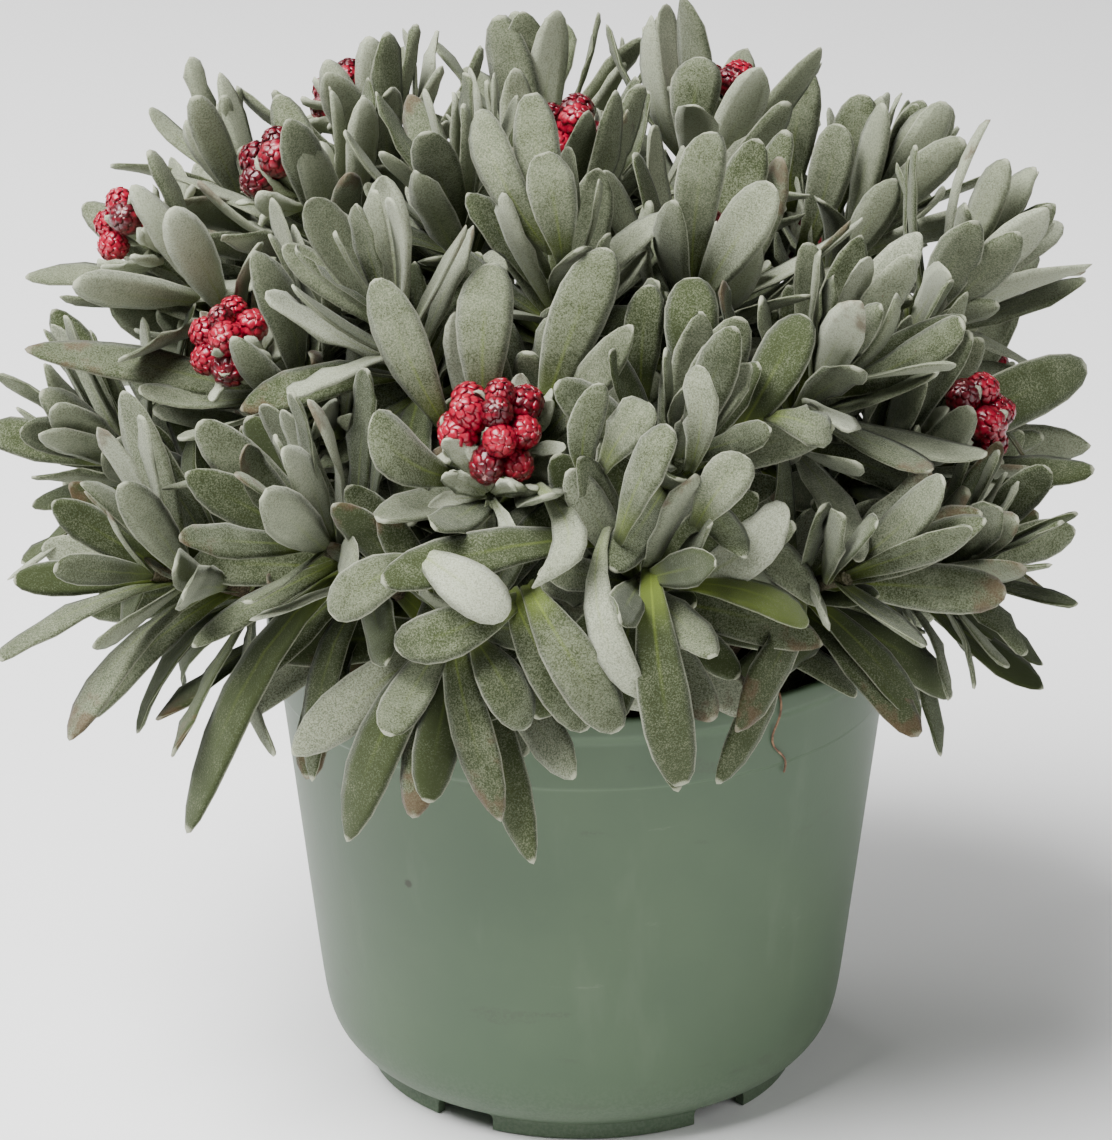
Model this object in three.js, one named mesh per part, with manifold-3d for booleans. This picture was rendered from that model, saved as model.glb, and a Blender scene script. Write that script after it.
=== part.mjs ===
// A potted helichrysum amorginum: a bushy, silver-leaved plant in bud in a 13 cm nursery pot.
// Millimetres, +Z up. The pot stands on z = 0 and its axis is the plant's own z axis. At the end the
// whole plant is moved so that the middle of its outline lies over the origin.
import * as THREE from "three";
import { mergeVertices } from "three/addons/utils/BufferGeometryUtils.js";
import Module from "manifold-3d";

const wasm = await Module();
wasm.setup();

// The pot
const LIP_RADIUS = 65;
const LIP_HEIGHT = 3.6;
const LIP_CHAMFER = 2.2;
const POT_HEIGHT = 101;
const BAND_TOP_RADIUS = 63.4;
const BAND_LOW_RADIUS = 62.9;
const BAND_LOW_Z = 85.6;
const BAND_STEP = 0.6;
const BODY_LOW_RADIUS = 54.3;
const BODY_LOW_Z = 16;
const FOOT_RADIUS = 45;
const FOOT_TOP_Z = 3.6;
const FOOT_WIDTH = 2.4;
const WALL = 1.5;
const FLOOR_LOW_Z = 4.6;
const FLOOR_TOP_Z = 6;
const POT_SIDES = 24;
const NOTCHES = 5;
const NOTCH_WIDTH = 13.5;
const NOTCH_HEIGHT = 4.4;
const NOTCH_CORNER = 2.2;
const FIRST_NOTCH_DEG = -32.8;
const DRAIN_RADIUS = 3.5;
const DRAIN_RING_RADIUS = 30;
const DRAIN_SIDES = 6;

// The soil
const SOIL_Z = 90.5;
const SOIL_MOUND = 2.5;
const SOIL_RELIEF = 0.6;
const SOIL_SIDES = 12;
const SOIL_RINGS = [50, 30];
const SEAT_GAP = 0.3;

// The stems
const STEM_SIDES = 4;
const STEM_STEPS = 4;
const STEM_LOW_RADIUS = 2.1;
const STEM_TOP_RADIUS = 1.5;
const STEM_DEPTH = 12;
const STEM_LEAN = 0.35;
const STEM_RISE = 60;
const STEM_LOW_PULL = 0.45;
const STEM_TOP_PULL = 0.35;
const LOW_TIP_FAN = 0.42;
const HIGH_TIP_FAN = 0.25;
const LOW_TIP_Z = 115;
const HIGH_TIP_Z = 197;
const HOLE_WIDER = 0.45;
const HOLE_DEEPER = 1;

// The leaves
const LEAF_LONG = 43;
const LEAF_SHORT = 27;
const LEAF_BY_BUDS = 37;
const LEAF_WIDTH_LOW = 0.22;
const LEAF_WIDTH_TOP = 0.28;
const LEAF_KEEL = 1.3;
const KEEL_AT_TIP = 0.6;
const BLADE_WIDEST = 0.7;
const BLADE_FOOT = 0.3;
const LEAF_TILT_LOW = 80;
const LEAF_TILT_TOP = 18;
const BUD_TILT = 16;
const LEAF_STEM_SPAN = 30;
const REACHING_DOWN = 26;
const REACHING_STEP = 8;
const GOLDEN_DEG = 137.508;
const LENGTH_SCATTER = [0.88, 1.1];
const WIDTH_SCATTER = [0.9, 1.1];
const TURN_SCATTER = 12;
const TILT_SCATTER = 8;
const ROLL_SCATTER = 20;
const DROOP_SCATTER = [0.02, 0.2];
const EARLY_LOW = 0.6;
const EARLY_TOP = 1.1;
const EARLY_BY_BUDS = 1.5;
const BEND_AT = 0.48;
const LONG_STATIONS = [0.15, 0.46, 0.82];
const SHORT_STATIONS = [0.2, 0.74];
const SHORT_LEAF = 41;
const STEM_CLEARANCE = 0.8;
const POT_CLEARANCE = 1.5;
const SOIL_CLEARANCE = 2;
const BUD_CLEARANCE = 0.8;
const TRY_LENGTHS = [1, 0.86, 0.74];
const TRY_TILTS = [1, 0.85, 1.14, 0.7, 0.55];
const TRY_TURNS = [0, 12, -12, 24, -24];

// The bud clusters
const BUD_RADIUS = 3;
const BUD_LENGTH = 1.2;
const BUD_PACKING = 0.74;
const BUD_CAP = 1.15;
const BUD_SIDES = 6;
const BUD_DOWN = 6;

// Each shoot: the place of its tip or of the middle of its buds, its size and its number of leaves and
// of buds. The last ones fill the back.
const SHOOTS = [
  { name: "top_middle", tip: [-3, 18, 193], size: 0.92, leaves: 16, buds: 8 },
  { name: "top_right", tip: [29, 45, 195], size: 0.95, leaves: 12, buds: 6 },
  { name: "top_left", tip: [-48, 46, 194], size: 0.85, leaves: 12, buds: 6 },
  { name: "crown_back", tip: [-10, 54, 187], size: 0.9, leaves: 11, buds: 0 },
  { name: "crown_left", tip: [-76, 36, 182], size: 0.85, leaves: 10, buds: 0 },
  { name: "upper_left", tip: [-60, 10, 189], size: 0.8, leaves: 13, buds: 7 },
  { name: "far_left", tip: [-90, 4, 179], size: 0.85, leaves: 13, buds: 6 },
  { name: "upper_middle", tip: [-26, -6, 186], size: 0.8, leaves: 12, buds: 0 },
  { name: "upper_right", tip: [26, -20, 182], size: 1, leaves: 16, buds: 5 },
  { name: "right_crown", tip: [62, 38, 173], size: 0.85, leaves: 11, buds: 0 },
  { name: "right_top", tip: [80, 12, 168], size: 0.85, leaves: 11, buds: 0 },
  { name: "left_face", tip: [-68, -24, 164], size: 0.95, leaves: 16, buds: 8 },
  { name: "middle_face", tip: [-6, -32, 180], size: 0.75, leaves: 11, buds: 0 },
  { name: "left_inner", tip: [-38, -42, 176], size: 0.75, leaves: 11, buds: 0 },
  { name: "right_inner", tip: [48, -42, 164], size: 0.9, leaves: 13, buds: 0 },
  { name: "front_face", tip: [-17, -64, 159], size: 0.95, leaves: 18, buds: 12 },
  { name: "right_face", tip: [76, -20, 147], size: 0.95, leaves: 14, buds: 8 },
  { name: "front_right", tip: [18, -68, 156], size: 0.8, leaves: 12, buds: 0 },
  { name: "front_low", tip: [11, -80, 136], size: 0.9, leaves: 11, buds: 0 },
  { name: "low_right", tip: [50, -64, 130], size: 0.9, leaves: 11, buds: 0 },
  { name: "far_right_low", tip: [74, -40, 123], size: 0.78, leaves: 11, buds: 0 },
  { name: "low_left", tip: [-52, -62, 136], size: 0.95, leaves: 12, buds: 0 },
  { name: "hanging", tip: [-28, -80, 128], size: 0.95, leaves: 11, buds: 0 },
  { name: "far_left_low", tip: [-98, -10, 137], size: 0.95, leaves: 12, buds: 0 },
  { name: "left_skirt", tip: [-84, -46, 124], size: 1, leaves: 10, buds: 0 },
  { name: "right_low", tip: [76, 6, 115], size: 0.72, leaves: 9, buds: 0 },
  { name: "left_low", tip: [-82, 22, 115], size: 0.8, leaves: 9, buds: 0 },
  { name: "back_right", tip: [46, 76, 154], size: 0.9, leaves: 13, buds: 7 },
  { name: "back_middle", tip: [2, 82, 158], size: 0.9, leaves: 13, buds: 6 },
  { name: "back_left", tip: [-42, 78, 152], size: 0.9, leaves: 11, buds: 0 },
  { name: "back_far_left", tip: [-84, 46, 148], size: 0.9, leaves: 13, buds: 7 },
  { name: "back_far_right", tip: [86, 44, 132], size: 0.9, leaves: 13, buds: 6 },
  { name: "back_low_left", tip: [-66, 66, 116], size: 0.85, leaves: 10, buds: 0 },
  { name: "back_low_middle", tip: [-16, 92, 118], size: 0.85, leaves: 10, buds: 0 },
  { name: "back_low_right", tip: [34, 88, 116], size: 0.85, leaves: 10, buds: 0 },
];

// The tips of the leaves that reach furthest from their shoot.
const REACHING = {
  top_right: [[24, 38, 220], [44, 46, 213]],
  top_left: [[-60, 42, 211]],
  crown_back: [[-18, 50, 211], [-6, 52, 212]],
  crown_left: [[-72, 36, 203]],
  far_left: [[-113, 10, 167], [-91, 20, 200]],
  right_crown: [[52, 34, 204], [76, 24, 190]],
  right_top: [[102, 0, 172], [96, 24, 173], [92, 14, 188]],
  left_face: [[-110, -18, 158]],
  right_face: [[104, 2, 151], [99, -4, 160]],
  front_low: [[17, -87, 96], [4, -92, 107], [-11, -90, 109]],
  low_right: [[60, -68, 100], [28, -85, 108]],
  far_right_low: [[70, -52, 104], [83, -42, 109]],
  low_left: [[-53, -74, 92], [-74, -68, 79]],
  hanging: [[-32, -84, 90], [-46, -80, 82], [-16, -88, 91]],
  far_left_low: [[-112, -32, 115], [-114, -12, 140]],
  left_skirt: [[-88, -54, 96], [-99, -64, 96], [-112, -62, 111]],
};

// Shoots grow away from this point, low in the bush.
const BUSH_HEART = new THREE.Vector3(0, 0, 98);

const UP = new THREE.Vector3(0, 0, 1);
const radians = THREE.MathUtils.degToRad;
const mix = THREE.MathUtils.lerp;

const potMaterial = new THREE.MeshStandardMaterial({ color: 0x74826f, roughness: 0.5, metalness: 0 });
const soilMaterial = new THREE.MeshStandardMaterial({ color: 0x2e241c, roughness: 1, metalness: 0 });
const leafMaterial = new THREE.MeshStandardMaterial({ color: 0x8b9483, roughness: 0.9, metalness: 0 });
const budMaterial = new THREE.MeshStandardMaterial({ color: 0xa81f30, roughness: 0.4, metalness: 0 });

// A small seeded generator of numbers from 0 to 1.
function draws(seed) {
  let state = seed >>> 0;
  return () => {
    state = (Math.imul(state, 1664525) + 1013904223) >>> 0;
    return state / 4294967296;
  };
}

function toSolid(geometry) {
  const bare = geometry.clone();
  bare.deleteAttribute("normal");
  bare.deleteAttribute("uv");
  const merged = mergeVertices(bare, 1e-4);
  return new wasm.Manifold(
    new wasm.Mesh({
      numProp: 3,
      vertProperties: new Float32Array(merged.attributes.position.array),
      triVerts: new Uint32Array(merged.index.array),
    }),
  );
}

function toMesh(name, solid, material) {
  const made = solid.getMesh();
  const geometry = new THREE.BufferGeometry();
  geometry.setAttribute("position", new THREE.BufferAttribute(made.vertProperties, 3));
  geometry.setIndex(new THREE.BufferAttribute(made.triVerts, 1));
  geometry.computeVertexNormals();
  const mesh = new THREE.Mesh(geometry, material);
  mesh.name = name;
  return mesh;
}

// Solids joined in one body, with any sealed pocket between them filled.
function joined(solids) {
  const whole = solids.reduce((sum, solid) => sum.add(solid));
  return whole.decompose().reduce((largest, body) => (body.volume() > largest.volume() ? body : largest));
}

// A lathe of [radius, z] points from the bottom of the axis round to its top.
function lathe(profile, sides) {
  const points = profile.map(([r, z]) => new THREE.Vector2(r, z));
  return new THREE.LatheGeometry(points, sides).rotateX(Math.PI / 2);
}

// The corners and faces of a closed skin over rings of equal length, each a list of points that runs
// anticlockwise about the way ahead. Each end is a flat cap, or a point where one is given.
function loft(rings, point, root) {
  const size = rings[0].length;
  const corners = rings.flat();
  const faces = [];
  if (root) {
    corners.push(root);
    for (let k = 0; k < size; k++) faces.push([corners.length - 1, (k + 1) % size, k]);
  } else for (let k = 1; k < size - 1; k++) faces.push([0, k + 1, k]);
  for (let r = 0; r + 1 < rings.length; r++)
    for (let k = 0; k < size; k++) {
      const a = r * size + k;
      const b = r * size + ((k + 1) % size);
      faces.push([a, b, b + size], [a, b + size, a + size]);
    }
  const last = (rings.length - 1) * size;
  if (point) {
    corners.push(point);
    for (let k = 0; k < size; k++) faces.push([last + k, last + ((k + 1) % size), corners.length - 1]);
  } else for (let k = 1; k < size - 1; k++) faces.push([last, last + k, last + k + 1]);
  return { corners, faces };
}

function loftSolid({ corners, faces }) {
  const geometry = new THREE.BufferGeometry().setFromPoints(corners);
  return toSolid(geometry.setIndex(faces.flat()));
}

function polygonAbout(centre, ahead, radius, sides) {
  const side = new THREE.Vector3().crossVectors(UP, ahead);
  if (side.length() < 1e-3) side.set(1, 0, 0);
  side.normalize();
  const other = new THREE.Vector3().crossVectors(ahead, side).normalize();
  return Array.from({ length: sides }, (_, k) => {
    const turn = (2 * Math.PI * k) / sides;
    return centre
      .clone()
      .addScaledVector(side, radius * Math.cos(turn))
      .addScaledVector(other, radius * Math.sin(turn));
  });
}

// A skin's edges, face planes and box, made ready for the crossing test.
function skinOf({ corners, faces }) {
  const edges = faces.flatMap((f) => f.map((a, i) => [a, f[(i + 1) % 3]]).filter(([a, b]) => a < b));
  const planes = faces.map((f) => new THREE.Triangle(...f.map((i) => corners[i])));
  planes.forEach((plane) => (plane.normal = plane.getNormal(new THREE.Vector3())));
  return { corners, edges, planes, box: new THREE.Box3().setFromPoints(corners) };
}

const crossing = new THREE.Vector3();

// True where an edge of one skin passes through a face of the other.
function pierces(skin, other) {
  return other.planes.some(({ a, b, c, normal }) => {
    const level = normal.dot(a);
    return skin.edges.some(([i, j]) => {
      const from = normal.dot(skin.corners[i]) - level;
      const to = normal.dot(skin.corners[j]) - level;
      if (from * to > 0 || from === to) return false;
      crossing.lerpVectors(skin.corners[i], skin.corners[j], from / (from - to));
      return THREE.Triangle.containsPoint(crossing, a, b, c);
    });
  });
}

function crosses(skin, other) {
  return skin.box.intersectsBox(other.box) && (pierces(skin, other) || pierces(other, skin));
}

function potSolid() {
  const lipLow = POT_HEIGHT - LIP_HEIGHT;
  const profile = [
    [0, FLOOR_LOW_Z],
    [FOOT_RADIUS - FOOT_WIDTH, FLOOR_LOW_Z],
    [FOOT_RADIUS - FOOT_WIDTH, 0],
    [FOOT_RADIUS, 0],
    [FOOT_RADIUS, FOOT_TOP_Z],
    [mix(FOOT_RADIUS, BODY_LOW_RADIUS, 0.45), mix(FOOT_TOP_Z, BODY_LOW_Z, 0.2)],
    [mix(FOOT_RADIUS, BODY_LOW_RADIUS, 0.82), mix(FOOT_TOP_Z, BODY_LOW_Z, 0.55)],
    [BODY_LOW_RADIUS, BODY_LOW_Z],
    [BAND_LOW_RADIUS - BAND_STEP, BAND_LOW_Z - BAND_STEP],
    [BAND_LOW_RADIUS, BAND_LOW_Z],
    [BAND_TOP_RADIUS, lipLow - LIP_CHAMFER],
    [LIP_RADIUS, lipLow],
    [LIP_RADIUS, POT_HEIGHT],
    [LIP_RADIUS - WALL, POT_HEIGHT],
    [BAND_TOP_RADIUS - WALL, lipLow - LIP_CHAMFER],
    [BAND_LOW_RADIUS - BAND_STEP - WALL, BAND_LOW_Z - BAND_STEP],
    [BODY_LOW_RADIUS - WALL, BODY_LOW_Z],
    [FOOT_RADIUS - WALL, FLOOR_TOP_Z],
    [0, FLOOR_TOP_Z],
  ];
  let pot = toSolid(lathe(profile, POT_SIDES));
  for (let k = 0; k < NOTCHES; k++) {
    const arch = new THREE.Shape([
      new THREE.Vector2(-NOTCH_WIDTH / 2, -1),
      new THREE.Vector2(NOTCH_WIDTH / 2, -1),
      new THREE.Vector2(NOTCH_WIDTH / 2, NOTCH_HEIGHT - NOTCH_CORNER),
      new THREE.Vector2(NOTCH_WIDTH / 2 - NOTCH_CORNER, NOTCH_HEIGHT),
      new THREE.Vector2(NOTCH_CORNER - NOTCH_WIDTH / 2, NOTCH_HEIGHT),
      new THREE.Vector2(-NOTCH_WIDTH / 2, NOTCH_HEIGHT - NOTCH_CORNER),
    ]);
    const turn = radians(FIRST_NOTCH_DEG + (360 * k) / NOTCHES);
    const cutter = new THREE.ExtrudeGeometry(arch, { depth: 16, bevelEnabled: false }).rotateX(Math.PI / 2);
    pot = pot.subtract(toSolid(cutter.translate(0, 8 - FOOT_RADIUS, 0).rotateZ(turn)));
    const drain = new THREE.CylinderGeometry(DRAIN_RADIUS, DRAIN_RADIUS, 6, DRAIN_SIDES).rotateX(Math.PI / 2);
    pot = pot.subtract(toSolid(drain.translate(0, -DRAIN_RING_RADIUS, FLOOR_LOW_Z).rotateZ(turn)));
  }
  return pot;
}

function soilHeight(x, y) {
  const share = Math.min(1, Math.hypot(x, y) / SOIL_RINGS[0]);
  const relief = Math.sin(x * 0.31 + 1) * Math.cos(y * 0.27) + Math.sin((x - y) * 0.17);
  return SOIL_Z + SOIL_MOUND * (1 - share * share) + SOIL_RELIEF * relief * (1 - share);
}

function soilSolid(stems) {
  const inside = WALL + 2 * SEAT_GAP;
  const profile = [
    [0, FLOOR_TOP_Z + SEAT_GAP],
    [FOOT_RADIUS - inside, FLOOR_TOP_Z + SEAT_GAP],
    [BODY_LOW_RADIUS - inside, BODY_LOW_Z],
    [BAND_LOW_RADIUS - BAND_STEP - inside, BAND_LOW_Z - BAND_STEP],
    [BAND_LOW_RADIUS - BAND_STEP - inside, SOIL_Z - 1],
    ...SOIL_RINGS.map((r) => [r, SOIL_Z]),
    [0, SOIL_Z],
  ];
  const geometry = lathe(profile, SOIL_SIDES);
  const place = geometry.attributes.position;
  for (let i = 0; i < place.count; i++)
    if (Math.abs(place.getZ(i) - SOIL_Z) < 1e-3) place.setZ(i, soilHeight(place.getX(i), place.getY(i)));
  return stems.reduce((soil, { curve }) => {
    const low = curve.getPoint(0).addScaledVector(curve.getTangent(0), -HOLE_DEEPER);
    const rings = [
      polygonAbout(low, curve.getTangent(0), STEM_LOW_RADIUS + HOLE_WIDER, STEM_SIDES),
      ...[0, 1 / STEM_STEPS].map((t) =>
        polygonAbout(curve.getPoint(t), curve.getTangent(t), stemRadius(t) + HOLE_WIDER, STEM_SIDES),
      ),
    ];
    return soil.subtract(loftSolid(loft(rings)));
  }, toSolid(geometry));
}

function stemRadius(t) {
  return mix(STEM_LOW_RADIUS, STEM_TOP_RADIUS, t);
}

// A stem rises from its hole, fans out and turns up along the shoot's own axis.
function growStem(shoot) {
  const budRing = BUD_RADIUS * BUD_PACKING * Math.sqrt(shoot.buds);
  const budMiddle = new THREE.Vector3(...shoot.tip);
  const axis = budMiddle.clone().sub(BUSH_HEART).normalize();
  const tip = budMiddle.clone().addScaledVector(axis, -budRing);
  const fan = THREE.MathUtils.mapLinear(tip.z, LOW_TIP_Z, HIGH_TIP_Z, LOW_TIP_FAN, HIGH_TIP_FAN);
  const foot = new THREE.Vector3(tip.x * fan, tip.y * fan, SOIL_Z - STEM_DEPTH);
  const rise = new THREE.Vector3(tip.x * STEM_LEAN, tip.y * STEM_LEAN, STEM_RISE).normalize();
  const reach = foot.distanceTo(tip);
  const curve = new THREE.CubicBezierCurve3(
    foot,
    foot.clone().addScaledVector(rise, reach * STEM_LOW_PULL),
    tip.clone().addScaledVector(axis, -reach * STEM_TOP_PULL),
    tip,
  );
  const grow = (wider) =>
    loft(
      Array.from({ length: STEM_STEPS + 1 }, (_, k) => {
        const t = k / STEM_STEPS;
        return polygonAbout(curve.getPoint(t), curve.getTangent(t), stemRadius(t) + wider, STEM_SIDES);
      }),
    );
  return {
    curve,
    axis,
    tip,
    budRing,
    budMiddle,
    budReach: shoot.buds ? budRing + BUD_RADIUS * BUD_LENGTH : 0,
    loft: grow(0),
    room: skinOf(grow(STEM_CLEARANCE)),
    length: curve.getLength(),
  };
}

// Half the blade's width at a share s of its length, where 1 is its widest: a narrow foot, widest at
// two thirds, and a round tip.
function bladeWidth(s) {
  if (s > BLADE_WIDEST) {
    const beyond = (s - BLADE_WIDEST) / (1 - BLADE_WIDEST);
    return Math.sqrt(Math.max(0, 1 - Math.pow(beyond, 2.4)));
  }
  const swell = Math.sin((Math.PI / 2) * (s / BLADE_WIDEST));
  return BLADE_FOOT + (1 - BLADE_FOOT) * Math.pow(swell, 1.4);
}

// One leaf's root, middle control point, tip and sideways direction, turned, tilted or shortened.
function leafShape(stem, leaf, lengthShare, tiltShare, turnMore) {
  const start = stem.curve.getPoint(1 - leaf.down / stem.length);
  const across = new THREE.Vector3().crossVectors(stem.axis, UP).normalize();
  const shape = { start, width: leaf.width };
  if (leaf.reach) {
    const way = leaf.reach.clone().sub(start);
    shape.tip = start.clone().addScaledVector(way, lengthShare * mix(1, tiltShare, 0.3));
    shape.length = start.distanceTo(shape.tip);
    way.normalize();
    shape.side = new THREE.Vector3().crossVectors(way, stem.axis).normalize();
    const early = way.multiplyScalar(0.8).addScaledVector(stem.axis, 0.5).addScaledVector(UP, 0.25);
    shape.bend = start.clone().addScaledVector(early.normalize(), shape.length * 0.5);
    return shape;
  }
  const tilt = leaf.tilt * tiltShare;
  const outward = across.applyAxisAngle(stem.axis, leaf.turn + radians(turnMore));
  const towards = (angle) => {
    const along = stem.axis.clone().multiplyScalar(Math.cos(angle));
    return along.addScaledVector(outward, Math.sin(angle));
  };
  shape.length = leaf.length * lengthShare;
  shape.bend = start.clone().addScaledVector(towards(tilt * leaf.early), shape.length * BEND_AT);
  shape.tip = start.clone().addScaledVector(towards(tilt), shape.length);
  shape.tip.z -= shape.length * leaf.droop * Math.sin(tilt);
  shape.side = new THREE.Vector3().crossVectors(outward, stem.axis);
  shape.side.applyAxisAngle(towards(tilt), leaf.roll).normalize();
  return shape;
}

// A ring of the blade at a share s of its length: one edge, the keel below and the other edge, with a
// flat face towards the shoot's tip.
function bladeRing(shape, s) {
  const curve = new THREE.QuadraticBezierCurve3(shape.start, shape.bend, shape.tip);
  const middle = curve.getPoint(s);
  const half = (shape.width / 2) * shape.length * bladeWidth(s);
  const down = new THREE.Vector3().crossVectors(curve.getTangent(s), shape.side).normalize();
  return [
    middle.clone().addScaledVector(shape.side, half),
    middle.clone().addScaledVector(down, LEAF_KEEL * mix(1, KEEL_AT_TIP, s)),
    middle.clone().addScaledVector(shape.side, -half),
  ];
}

// The blade's corners and faces, with the skins that its own shoot's leaves and all others keep clear of.
function bladeOf(shape) {
  const stations = shape.length > SHORT_LEAF ? LONG_STATIONS : SHORT_STATIONS;
  const rings = stations.map((s) => bladeRing(shape, s));
  const last = rings.at(-1);
  const between = rings.slice(1).flatMap((ring, i) =>
    ring.flatMap((p, j) => [0, 0.25, 0.5, 0.75].map((f) => rings[i][j].clone().lerp(p, f))),
  );
  const points = [...between, ...last, ...last.map((p) => p.clone().lerp(shape.tip, 0.5)), shape.tip];
  const whole = loft(rings, shape.tip, shape.start);
  return { loft: whole, skin: skinOf(whole), free: skinOf(loft(rings, shape.tip)), points };
}

function wallRadius(z) {
  if (z > BAND_LOW_Z) return LIP_RADIUS;
  const up = Math.max(0, z - BODY_LOW_Z) / (BAND_LOW_Z - BODY_LOW_Z);
  return mix(BODY_LOW_RADIUS, BAND_LOW_RADIUS, up);
}

// True where a point keeps clear of the pot's wall and of the soil.
function clearOfPot(p) {
  const r = Math.hypot(p.x, p.y);
  const inside = BAND_LOW_RADIUS - 2 * WALL - POT_CLEARANCE;
  if (r < inside) return p.z > soilHeight(p.x, p.y) + SOIL_CLEARANCE;
  const beside = r > wallRadius(p.z) + POT_CLEARANCE && p.z > 4 * POT_CLEARANCE;
  return beside || p.z > POT_HEIGHT + POT_CLEARANCE;
}

function clearOfBuds(blade, stem) {
  const room = stem.budReach + BUD_CLEARANCE;
  return !stem.budReach || blade.points.every((p) => p.distanceTo(stem.budMiddle) > room);
}

// Two leaves of one shoot may meet at their roots, and leaves of two shoots nowhere.
function leafFits(blade, stem, stems, grown) {
  return (
    blade.points.every(clearOfPot) &&
    stems.every((other) => clearOfBuds(blade, other)) &&
    !stems.some((other) => other !== stem && crosses(blade.skin, other.room)) &&
    !grown.some((leaf) => {
      const part = leaf.stem === stem ? "free" : "skin";
      return crosses(blade[part], leaf.blade[part]);
    })
  );
}

// What a shoot's leaves would be if nothing were in their way: first those that reach far, then from
// the lowest and longest to the highest and shortest, each turned on from the last by the golden angle.
function wishedLeaves(shoot, index) {
  const draw = draws(7919 * (index + 3));
  const first = draw() * 360;
  const far = (REACHING[shoot.name] ?? []).map((reach, k) => ({
    reach: new THREE.Vector3(...reach),
    width: LEAF_WIDTH_LOW * mix(...WIDTH_SCATTER, draw()),
    down: REACHING_DOWN * shoot.size - REACHING_STEP * k,
  }));
  const near = Array.from({ length: shoot.leaves }, (_, k) => {
    const up = k / (shoot.leaves - 1);
    const top = LEAF_TILT_TOP + (shoot.buds ? BUD_TILT : 0);
    const short = shoot.buds ? LEAF_BY_BUDS : LEAF_SHORT;
    return {
      turn: radians(first + k * GOLDEN_DEG + (draw() - 0.5) * TURN_SCATTER),
      tilt: radians(mix(LEAF_TILT_LOW, top, Math.pow(up, 1.1)) + (draw() - 0.5) * TILT_SCATTER),
      length: shoot.size * mix(LEAF_LONG, short, Math.pow(up, 1.3)) * mix(...LENGTH_SCATTER, draw()),
      width: mix(LEAF_WIDTH_LOW, LEAF_WIDTH_TOP, up) * mix(...WIDTH_SCATTER, draw()),
      down: Math.pow(1 - up, 1.15) * LEAF_STEM_SPAN * shoot.size + (shoot.buds ? BUD_DOWN : 1),
      droop: mix(...DROOP_SCATTER, draw()) * (1 - up),
      roll: radians((draw() - 0.5) * ROLL_SCATTER),
      early: mix(EARLY_LOW, shoot.buds ? EARLY_BY_BUDS : EARLY_TOP, up),
    };
  });
  return { far, near };
}

// A wished leaf takes the first turn, tilt and length at which it crosses nothing that has grown.
function growLeaf(leaf, stem, stems, grown) {
  for (const length of TRY_LENGTHS)
    for (const tilt of TRY_TILTS)
      for (const turn of TRY_TURNS) {
        const blade = bladeOf(leafShape(stem, leaf, length, tilt, turn));
        if (leafFits(blade, stem, stems, grown)) {
          grown.push({ stem, blade });
          return;
        }
      }
}

// Every shoot's leaves, a rank at a time, so that no shoot takes its neighbours' room.
function growLeaves(shoots, stems) {
  const grown = [];
  const wished = shoots.map(wishedLeaves);
  wished.forEach(({ far }, i) => far.forEach((leaf) => growLeaf(leaf, stems[i], stems, grown)));
  const ranks = Math.max(...shoots.map((shoot) => shoot.leaves));
  for (let rank = 0; rank < ranks; rank++)
    wished.forEach(({ near }, i) => near[rank] && growLeaf(near[rank], stems[i], stems, grown));
  return grown;
}

// Buds sit round a small core, spread by the golden angle over a cap that faces along the shoot.
function budSolid(shoot, stem, index) {
  const draw = draws(104729 * (index + 1));
  const wide = stem.budRing - BUD_RADIUS * 0.35;
  const low = [[0, SEAT_GAP], [STEM_TOP_RADIUS, SEAT_GAP]];
  const core = lathe([...low, [wide, stem.budRing], [0, stem.budRing + wide]], BUD_SIDES);
  const parts = [core];
  for (let k = 0; k < shoot.buds; k++) {
    const polar = Math.acos(1 - ((k + 0.35) / shoot.buds) * BUD_CAP);
    const turn = radians(k * GOLDEN_DEG + draw() * 20);
    const out = Math.sin(polar);
    const way = new THREE.Vector3(out * Math.cos(turn), out * Math.sin(turn), Math.cos(polar));
    const radius = BUD_RADIUS * mix(0.8, 1.05, draw());
    const half = radius * BUD_LENGTH;
    const bud = lathe([[0, -half], [radius, half * 0.15], [0, half]], BUD_SIDES);
    bud.applyQuaternion(new THREE.Quaternion().setFromUnitVectors(UP, way));
    bud.translate(way.x * stem.budRing, way.y * stem.budRing, way.z * stem.budRing + stem.budRing);
    parts.push(bud);
  }
  const turnUp = new THREE.Quaternion().setFromUnitVectors(UP, stem.axis);
  return joined(parts.map((part) => toSolid(part.applyQuaternion(turnUp).translate(...stem.tip.toArray()))));
}

const stems = SHOOTS.map(growStem);
const grown = growLeaves(SHOOTS, stems);
const plant = new THREE.Group();
plant.add(toMesh("pot", potSolid(), potMaterial));
plant.add(toMesh("soil", soilSolid(stems), soilMaterial));
SHOOTS.forEach((shoot, index) => {
  const stem = stems[index];
  const leaves = grown.filter((leaf) => leaf.stem === stem).map((leaf) => loftSolid(leaf.blade.loft));
  plant.add(toMesh("shoot_" + shoot.name, joined([loftSolid(stem.loft), ...leaves]), leafMaterial));
  if (shoot.buds) plant.add(toMesh("buds_" + shoot.name, budSolid(shoot, stem, index), budMaterial));
});

const outline = new THREE.Box3().setFromObject(plant);
const middle = outline.getCenter(new THREE.Vector3());
plant.position.set(-middle.x, -middle.y, 0);

export default plant;
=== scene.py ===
# A potted helichrysum amorginum in bud: silver felted leaves, red buds, dark peat and a nursery pot.
# The growing is worked out in millimetres about the pot's own axis, by the same rule as the part's
# solids, so that each fine leaf lies where its solid lies. More leaves then fill the room between.
import copy
import functools
import math

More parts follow.
